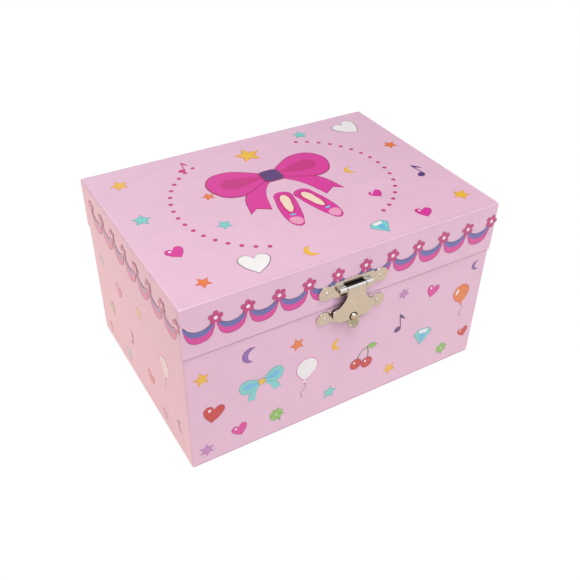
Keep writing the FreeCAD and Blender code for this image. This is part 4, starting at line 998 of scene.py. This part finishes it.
laceSet = {"scallops": 20, "tall": 5.2, "deep": 1.9, "thick": 0.25, "drop": 0.5, "clear": 0.05,
           "hole": 0.62, "pinhole": 0.3, "pinholesAt": (0.22, 0.78), "pinholeDrop": 0.32}
trimSet = {"tall": 3.6, "thick": 0.4, "below": 1.4, "clear": 0.03, "lining": 0.5, "edge": 0.12,
           "level": 0.9}
paperLace = makeMaterial("paperLace", srgb(252, 240, 246), 0.7)
tintBy(paperLace, srgb(244, 226, 236), srgb(255, 248, 250), 1200, 4)
bumpBy(paperLace, 0.05, 0.6, 4200, 2)
satinTrim = finish("velvet", "satinTrim", srgb(246, 176, 208))


def stageLace():
    low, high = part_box("stage_front")
    deckLow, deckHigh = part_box("stage_deck")
    wide = (high.x - low.x) / mm
    count, tall, deep = laceSet["scallops"], laceSet["tall"], laceSet["deep"]
    pitch = wide / count
    edge = [(wide / 2, 0, 1), (-wide / 2, 0, 1)]
    holes = []
    for step in range(count):
        left = -wide / 2 + pitch * step
        edge += [(left, deep - tall, 1), (left + pitch / 2, -tall)]
        holes.append(ring(8, (laceSet["hole"],), (left + pitch / 2, deep - tall)))
        for share in laceSet["pinholesAt"]:
            centre = (left + pitch * share, -tall * laceSet["pinholeDrop"])
            holes.append(ring(6, (laceSet["pinhole"],), centre))
    edge.append((wide / 2, deep - tall, 1))
    lace = toMesh(flatCurve([edge] + holes, laceSet["thick"] * mm))
    face = min(low.y, deckLow.y) - (laceSet["thick"] / 2 + laceSet["clear"]) * mm
    upright = Matrix.Rotation(math.radians(90), 4, "X")
    lace.data.transform(Matrix.Translation((0, face, deckHigh.z - laceSet["drop"] * mm)) @ upright)
    finishPiece(lace, "stageLace", "case", paperLace)


def rimTrim(body, room, level):
    # Flat band round the inside of the lining
    room = room.xy - Vector((1, 1)) * (trimSet["lining"] + trimSet["clear"]) * mm
    band = solid("cube", (0, 0, level / mm), (2 * room.x, 2 * room.y, trimSet["tall"] * mm), size=1)
    grab(band, "FACE", lambda face: abs(face.normal.z) > trimSet["level"])
    bpy.ops.mesh.delete(type="FACE")
    leave()
    modify(band, "SOLIDIFY", thickness=trimSet["thick"] * mm, offset=-1)
    modify(closeUp(band), "BEVEL", width=trimSet["edge"] * mm, segments=2, limit_method="ANGLE")
    finishPiece(smooth(band), body + "Trim", body, satinTrim)


stageLace()
trimAway = (trimSet["below"] + trimSet["tall"] / 2) * mm
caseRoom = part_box("case_lining")[1]
rimTrim("case", caseRoom, caseRoom.z - trimAway)
lidFoot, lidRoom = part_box("lid_lining")
rimTrim("lid", lidRoom, lidFoot.z + trimAway)
print("lace and trim laid on")


# Mirror with a ground border, in a frame of pearls

mirrorSet = {"border": 4.5, "groundWide": 0.5, "clear": 0.015, "ground": 0.4,
             "frameEdge": 0.6, "pearl": 1.25, "pearlFlat": 0.6, "pearlGap": 3.1}
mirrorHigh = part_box("mirror")[1]
frameLow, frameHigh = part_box("mirror_frame")


def groundLine(material):
    # Rougher along a line inside the edge
    gaps = [mathOn("SUBTRACT", half, mathOn("ABSOLUTE", value))
            for value, half in zip(axesOf(material), mirrorHigh.xy)]
    least = mathOn("MINIMUM", *gaps)
    line = mathOn("COMPARE", least, mirrorSet["border"] * mm, mirrorSet["groundWide"] * mm)
    roughBy(material, line, mirrorSet["clear"], mirrorSet["ground"])


def pearlRow():
    bead = solid("uv_sphere", stretch=(1, 1, mirrorSet["pearlFlat"]), segments=10, ring_count=7,
                 radius=mirrorSet["pearl"] * mm)
    smooth(bead, roundAngle)
    across, along = ((inner + outer) / 2 for inner, outer in zip(mirrorHigh.xy, frameHigh.xy))
    beads = []
    for half, fixed, swap in ((across, along, False), (along, across, True)):
        count = int(2 * half / (mirrorSet["pearlGap"] * mm))
        for step in range(count):
            spot = -half + 2 * half * step / count
            for side in (-1, 1):
                x, y = (fixed * side, -spot * side) if swap else (spot * side, fixed * side)
                twin = copyOf(bead)
                twin.data.transform(Matrix.Translation((x, y, frameLow.z)))
                beads.append(twin)
    bpy.data.objects.remove(bead)
    finishPiece(join(beads), "framePearls", "lid", pearlPlastic)


groundLine(mirrorGlass)
dress(mirrorGlass, "mirror")
finishPiece(easedCopy("mirror_frame", mirrorSet["frameEdge"], 3), "mirrorFrame", "lid",
            pearlPlastic, ("mirror_frame",))
pearlRow()
print("mirror framed")


# Ring cushion: one roll is blown up as cloth at a larger scale, then copied

rollSet = {"count": 4, "gap": 0.35, "fill": 0.85, "enlarge": 20, "shrink": 0.93, "round": 0.36,
           "roundSteps": 6, "sharp": 40, "voxel": 0.028, "pressure": 3.0, "quality": 6, "frames": 16,
           "soften": {"factor": 0.5, "iterations": 6}}


def swell(piece):
    pick(piece)
    cloth = piece.modifiers.new("Swell", "CLOTH")
    cloth.settings.use_pressure = True
    cloth.settings.uniform_pressure_force = rollSet["pressure"]
    cloth.settings.effector_weights.gravity = 0
    cloth.settings.quality = rollSet["quality"]
    cloth.point_cache.frame_end = rollSet["frames"]
    for step in range(1, rollSet["frames"] + 1):
        scene.frame_set(step)
    bpy.ops.object.modifier_apply(modifier=cloth.name)
    scene.frame_set(1)


def ringRolls():
    low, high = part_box("ring_rolls")
    pitch = (high.y - low.y) / rollSet["count"]
    size = Vector((high.x - low.x, pitch, high.z - low.z)) * rollSet["enlarge"]
    roll = solid("cube", stretch=size * rollSet["shrink"], size=1)
    modify(roll, "BEVEL", width=size.y * rollSet["round"], segments=rollSet["roundSteps"],
           limit_method="ANGLE", angle_limit=math.radians(rollSet["sharp"]))
    modify(roll, "REMESH", mode="VOXEL", voxel_size=rollSet["voxel"])
    swell(roll)
    modify(roll, "SMOOTH", **rollSet["soften"])
    closeUp(roll)
    # Back to the room that the cushion has
    room = Vector((high.x - low.x, pitch - rollSet["gap"] * mm, high.z - low.z))
    for axis, spots in enumerate(zip(*(vertex.co for vertex in roll.data.vertices))):
        roll.scale[axis] = room[axis] / (max(spots) - min(spots))
    smooth(settle(roll), roundAngle)
    for step in range(rollSet["count"]):
        twin = copyOf(roll)
        middle = Vector(((low.x + high.x) / 2, low.y + pitch * (step + 0.5), (low.z + high.z) / 2))
        twin.data.transform(Matrix.Translation(middle))
        finishPiece(twin, f"ringRoll{step + 1}", "case", velvetPink)
    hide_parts("ring_rolls")
    bpy.data.objects.remove(roll)


ringRolls()
print("ring cushion filled")


# Dancer, modelled upright in millimetres from the pivot and then laid into the folded place

dollSet = {
    "pivot": (0, 31, 45.183), "fold": 48, "coilReach": 4.783, "coilAngle": 50, "plug": (3.15, 1.6),
    "plugEdge": 0.3, "neckline": 33.6, "backDip": 0.35, "waist": 29.0, "shoeTop": 9.6, "flat": 0.74,
    # Rows of x, y, z and radius; limbs are on the right side
    "leg": [(1.05, 0, 6.2, 0.5), (1.125, 0, 7.0, 0.68), (1.2, -0.1, 8.4, 0.74), (1.275, 0, 10.6, 0.66),
            (1.35, 0.25, 14.2, 1.08), (1.425, 0, 17.4, 0.92), (1.5, -0.1, 21.4, 1.45),
            (1.5, 0, 25.6, 1.6)],
    "torso": [(0, 0, 23.5, 0.9), (0, 0, 24.3, 2.3), (0, 0.1, 25.8, 2.95), (0, 0, 27.4, 2.5),
              (0, -0.1, 29.0, 1.95), (0, -0.25, 31.2, 2.35), (0, -0.35, 32.6, 2.6),
              (0, -0.1, 34.0, 2.55), (0, 0, 34.9, 2.0), (0, 0, 35.5, 1.05), (0, 0, 36.4, 0.85),
              (0, -0.1, 37.8, 0.85)],
    "strap": [(1.5, -1.75, 33.4, 0.2), (1.55, -1.2, 34.6, 0.2), (1.5, 0.2, 35.0, 0.2),
              (1.4, 1.5, 33.6, 0.2)],
    "arm": [(1.9, 0, 34.2, 0.7), (3.2, 0, 35.0, 0.78), (5.0, 0, 36.9, 0.68), (6.5, -0.1, 40.2, 0.6),
            (5.9, -0.2, 43.2, 0.58), (4.3, -0.3, 45.6, 0.46), (2.9, -0.3, 46.7, 0.5),
            (1.5, -0.3, 47.3, 0.42), (0.55, -0.3, 47.5, 0.14)],
    "thumb": [(3.1, -0.5, 46.3, 0.24), (2.4, -0.8, 46.3, 0.22), (1.7, -0.9, 46.5, 0.12)],
    # Place to the back, radius, thickness, points round and stretch
    "frill": (-0.08, 2.62, 0.22, 36, (1, 0.74, 0.8)), "frillWaves": (18, 0.12),
    "belt": (-0.08, 1.95, 0.24, 32, (1.03, 0.8, 1.3)),
}
ribbonSet = {"steps": 17, "turn": 67.5, "below": 0.5, "climb": 0.24, "leg": 1.29, "radius": 0.74,
             "widen": 0.016, "back": 0.01, "thick": 0.11}
headSet = {
    "level": 39.68, "radius": 3.2,
    "jaw": (((0.86, 0.9, 1.0), -0.9), ((0.8, 0.86, 1.06), -2.0)), "jawBack": -0.5, "jawReach": 1.6,
    "nose": (0.35, -0.55, 0.4), "noseOut": (0, -0.35, -0.1), "noseReach": 0.7,
    # Place across and up from the middle of the head, then width and height
    "eye": (1.15, 0.1, 0.4, 0.52), "glint": (1.15, 0.32, 0.12, 0.14), "blush": (1.75, -0.95, 0.55, 0.36),
    # Rows of across, up and radius
    "lash": [(0.65, 0.35, 0.05), (1.15, 0.68, 0.09), (1.75, 0.4, 0.05)],
    "brow": [(0.6, 1.15, 0.05), (1.2, 1.4, 0.08), (1.8, 1.15, 0.04)],
    "lips": [(-0.55, -1.5, 0.06), (0, -1.72, 0.16), (0.55, -1.5, 0.06)],
}
hairSet = {  # places from the middle of the head
    "over": 0.2, "place": (0, 0.08, 0.06), "cut": (0, -0.5, 1.35), "cutWay": (0, -0.72, -0.7),
    "bun": (0, 0.5, 3.2), "bunSteps": 21, "bunTurn": 60, "bunRadius": 1.15, "bunEnd": 26,
    "bunClimb": 0.085, "bunThick": 0.42, "bandUp": 3.05, "band": (0.5, 1.35, 0.2, 28),
}
skin = finish("plastic", "dollSkin", srgb(248, 208, 184), 0.38)
tights = finish("plastic", "dollTights", srgb(250, 226, 228), 0.45)
satin = finish("plastic", "dollSatin", srgb(236, 92, 160), 0.26)
hairBrown = finish("plastic", "dollHair", srgb(118, 70, 40), 0.34)
bumpBy(hairBrown, 0.12, 0.7, 900, 4, (6, 6, 0.6))
paintDark = finish("plastic", "paintDark", srgb(52, 32, 28), 0.3)
paintRed = finish("plastic", "paintRed", srgb(206, 52, 74), 0.3)
paintBlush = finish("plastic", "paintBlush", srgb(244, 160, 152), 0.45)
dollMatrix = (Matrix.Translation(Vector(dollSet["pivot"]) * mm)
              @ Matrix.Rotation(math.radians(dollSet["fold"]), 4, "X"))


def limb(rows, material, resolution=3):
    # Tapered tube
    curve = newCurve("limb", "3D", bevel_depth=mm, bevel_resolution=resolution, resolution_u=6,
                     use_fill_caps=True)
    addSpline(curve, rows)
    return coat(smooth(toMesh(newObject("limb", curve)), tubeAngle), material)


def rounded(piece, material):
    return coat(smooth(piece, roundAngle), material)


def hoop(level, back, radius, thick, points, stretch=(1, 1, 1)):
    return solid("torus", (0, back, level), stretch, major_radius=radius * mm, minor_radius=thick * mm,
                 major_segments=points, minor_segments=8)


def coatWhere(piece, material, test):
    piece.data.materials.append(material)
    index = len(piece.data.materials) - 1
    for face in piece.data.polygons:
        if test(face.center / mm):
            face.material_index = index


def dollLegs():
    start = dollSet["shoeTop"] - ribbonSet["below"]
    pieces = []
    for side in (-1, 1):
        leg = limb(flipped(dollSet["leg"], side), tights)
        coatWhere(leg, satin, lambda spot: spot.z < dollSet["shoeTop"])
        ribbon = []
        for step in range(ribbonSet["steps"]):
            turn = math.radians(-90 + ribbonSet["turn"] * step) * side
            radius = ribbonSet["radius"] + ribbonSet["widen"] * step
            ribbon.append((ribbonSet["leg"] * side + radius * math.cos(turn),
                           ribbonSet["back"] * step + radius * math.sin(turn),
                           start + ribbonSet["climb"] * step, ribbonSet["thick"]))
        pieces += [leg, limb(ribbon, satin, 1)]
    return pieces


def dollBody():
    torso = limb(dollSet["torso"], satin, 5)
    edit(torso)
    bpy.ops.transform.resize(value=(1, dollSet["flat"], 1), center_override=(0, 0, 0))
    leave()
    coatWhere(torso, skin, lambda spot: spot.z > dollSet["neckline"]
              - dollSet["backDip"] * abs(spot.x) * (spot.y > 0))
    frill = hoop(dollSet["neckline"], *dollSet["frill"])
    waves, deep = dollSet["frillWaves"]
    for vertex in frill.data.vertices:
        vertex.co.z += deep * mm * math.sin(waves * math.atan2(vertex.co.y, vertex.co.x))
    belt = hoop(dollSet["waist"], *dollSet["belt"])
    pieces = [torso, rounded(frill, pearlPlastic), rounded(belt, brass)]
    return pieces + [limb(flipped(dollSet["strap"], side), satin, 1) for side in (-1, 1)]


def dollArms():
    pieces = []
    for side in (-1, 1):
        pieces += [limb(flipped(dollSet["arm"], side), skin),
                   limb(flipped(dollSet["thumb"], side), skin, 1)]
    return pieces


def onFace(head, across, up):
    # Place and normal on the head, met from the front
    start = Vector((across, -3 * headSet["radius"], headSet["level"] + up)) * mm
    return head.ray_cast(start, (0, 1, 0))[1:3]


def dab(head, side, facts, material, proud=0.06, shift=0):
    across, up, wide, tall = facts
    spot, normal = onFace(head, across * side + shift, up)
    bead = solid("uv_sphere", spot / mm, (wide, tall, proud), normal.to_track_quat("Z", "Y").to_euler(),
                 segments=14, ring_count=8, radius=mm)
    return rounded(bead, material)


def stroke(head, rows, material):
    path = [(*(onFace(head, across, up)[0] / mm), radius) for across, up, radius in rows]
    return limb(path, material, 1)


def dollHead():
    level = headSet["level"]
    head = solid("uv_sphere", (0, 0, level), segments=40, ring_count=24, radius=headSet["radius"] * mm)
    for value, high in headSet["jaw"]:
        grab(head, "VERT", lambda vertex: vertex.co.z / mm < level + high)
        centre = (0, headSet["jawBack"] * mm, (level + high) * mm)
        bpy.ops.transform.resize(value=value, center_override=centre, use_proportional_edit=True,
                                 proportional_size=headSet["jawReach"] * mm)
        leave()
    wide, high, tall = headSet["nose"]
    grab(head, "VERT", lambda vertex: vertex.co.y < 0 and abs(vertex.co.x / mm) < wide
         and abs(vertex.co.z / mm - level - high) < tall)
    bpy.ops.transform.translate(value=Vector(headSet["noseOut"]) * mm, use_proportional_edit=True,
                                proportional_size=headSet["noseReach"] * mm)
    leave()
    rounded(head, skin)
    bpy.context.view_layer.update()
    pieces = [head]
    for side in (-1, 1):
        pieces += [dab(head, side, headSet["eye"], paintDark),
                   dab(head, side, headSet["glint"], tights, proud=0.1, shift=0.12),
                   dab(head, side, headSet["blush"], paintBlush, proud=0.04),
                   stroke(head, flipped(headSet["lash"], side), paintDark),
                   stroke(head, flipped(headSet["brow"], side), hairBrown)]
    return pieces + [stroke(head, headSet["lips"], paintRed)] + dollHair()


def dollHair():
    radius = headSet["radius"] + hairSet["over"]
    middle = Vector((0, 0, headSet["level"]))
    hair = solid("uv_sphere", middle + Vector(hairSet["place"]), segments=40, ring_count=24,
                 radius=radius * mm)
    edit(hair)
    bpy.ops.mesh.bisect(plane_co=(middle + Vector(hairSet["cut"])) * mm, plane_no=hairSet["cutWay"],
                        use_fill=True, clear_outer=True)
    leave()
    x, y, z = middle + Vector(hairSet["bun"])
    bun = []
    for step in range(hairSet["bunSteps"]):
        turn = math.radians(hairSet["bunTurn"] * step)
        radius = hairSet["bunRadius"] * (1 - step / hairSet["bunEnd"])
        bun.append((x + radius * math.cos(turn), y + radius * math.sin(turn),
                    z + hairSet["bunClimb"] * step, hairSet["bunThick"]))
    band = hoop(headSet["level"] + hairSet["bandUp"], *hairSet["band"])
    return [rounded(hair, hairBrown), limb(bun, hairBrown), rounded(band, satin)]


def dollPlug():
    radius, tall = dollSet["plug"]
    plug = solid("cylinder", (0, 0, dollSet["coilReach"] + tall / 2), vertices=40, radius=radius * mm,
                 depth=tall * mm)
    modify(plug, "BEVEL", width=dollSet["plugEdge"] * mm, segments=3, limit_method="ANGLE")
    return coat(smooth(plug), pearlPlastic)


doll = join(dollLegs() + dollBody() + dollArms() + dollHead() + [dollPlug()])
doll.data.transform(dollMatrix)
finishPiece(doll, "dancerDoll", "figure", None, ("dancer",))
print("dancer modelled")


# Tutu: rings of tulle gathered at the hips

tutuSet = {
    "waist": 2.9, "hip": 26.4, "steps": 9, "points": 160, "thick": 0.08, "hem": 0.14, "cut": 1.2,
    "weld": 1e-7, "ripple": 0.3, "sway": 0.03, "deep": 0.45, "droopCurve": 1.5, "foldCurve": 1.2,
    # Reach, drop, number of folds and their depth
    "layers": {"tutuTop": (13.9, -1.0, 15, 1.15), "tutuMiddle": (13.3, -1.9, 17, 1.05),
               "tutuLow": (12.4, -2.7, 14, 1.0)},
}
tulle = makeMaterial("tulle", srgb(250, 196, 222), 0.6, Sheen_Weight=0.5, Alpha=0.86)
tintBy(tulle, srgb(246, 176, 210), srgb(255, 220, 236), 2600, 2)
bumpBy(tulle, 0.05, 0.6, 6000, 1)


def hemAlong(spots):
    curve = newCurve("hem", "3D", bevel_depth=tutuSet["hem"] * mm, bevel_resolution=1)
    spline = curve.splines.new("POLY")
    spline.use_cyclic_u = True
    spline.points.add(len(spots) - 1)
    for point, spot in zip(spline.points, spots):
        point.co = (*spot, 1)
    return smooth(toMesh(newObject("hem", curve)), roundAngle)


def tulleRing(index, name, reach, drop, folds, deep):
    waist, steps, hip = tutuSet["waist"], tutuSet["steps"], tutuSet["hip"]
    cloth = solid("circle", (0, 0, hip), vertices=tutuSet["points"], radius=waist * mm)
    edit(cloth)
    for step in range(steps):
        grow = (waist + (reach - waist) * (step + 1) / steps) / (waist + (reach - waist) * step / steps)
        bpy.ops.mesh.extrude_region_move()
        bpy.ops.transform.resize(value=(grow, grow, 1), center_override=(0, 0, hip * mm))
    leave()
    # The folds deepen towards the hem
    for vertex in cloth.data.vertices:
        way = math.atan2(vertex.co.y, vertex.co.x)
        share = max(0, (math.hypot(vertex.co.x, vertex.co.y) / mm - waist) / (reach - waist))
        wave = math.sin(folds * way + 2 * index) + tutuSet["ripple"] * math.sin((2 * folds + 1) * way)
        fold = tutuSet["deep"] * deep * share ** tutuSet["foldCurve"] * wave
        vertex.co.z += mm * (drop * share ** tutuSet["droopCurve"] + fold)
        vertex.co.x *= 1 + tutuSet["sway"] * share * math.sin(folds * way)
    hem = hemAlong([vertex.co.copy() for vertex in cloth.data.vertices[-tutuSet["points"]:]])
    modify(cloth, "SOLIDIFY", thickness=tutuSet["thick"] * mm, offset=0)
    smooth(closeUp(cloth, tutuSet["weld"]), roundAngle)
    for piece in (cloth, hem):
        piece.data.transform(dollMatrix)
    finishPiece(cloth, name, "figure", tulle)
    finishPiece(hem, name + "Hem", "figure", satin)
    return cloth


layers = [tulleRing(index, name, *facts)
          for index, (name, facts) in enumerate(tutuSet["layers"].items())]
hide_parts("tutu")
print("tutu gathered")


# Coil under the dancer, copied from the part, between the turntable and the plug

def bentCoil():
    coil = copyOf(nodes["dancer_spring"], "dancerCoil")
    coat(smooth(closeUp(coil), dollSet["coilAngle"]), springSteel)
    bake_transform(coil)
    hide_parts("dancer_spring")


bentCoil()
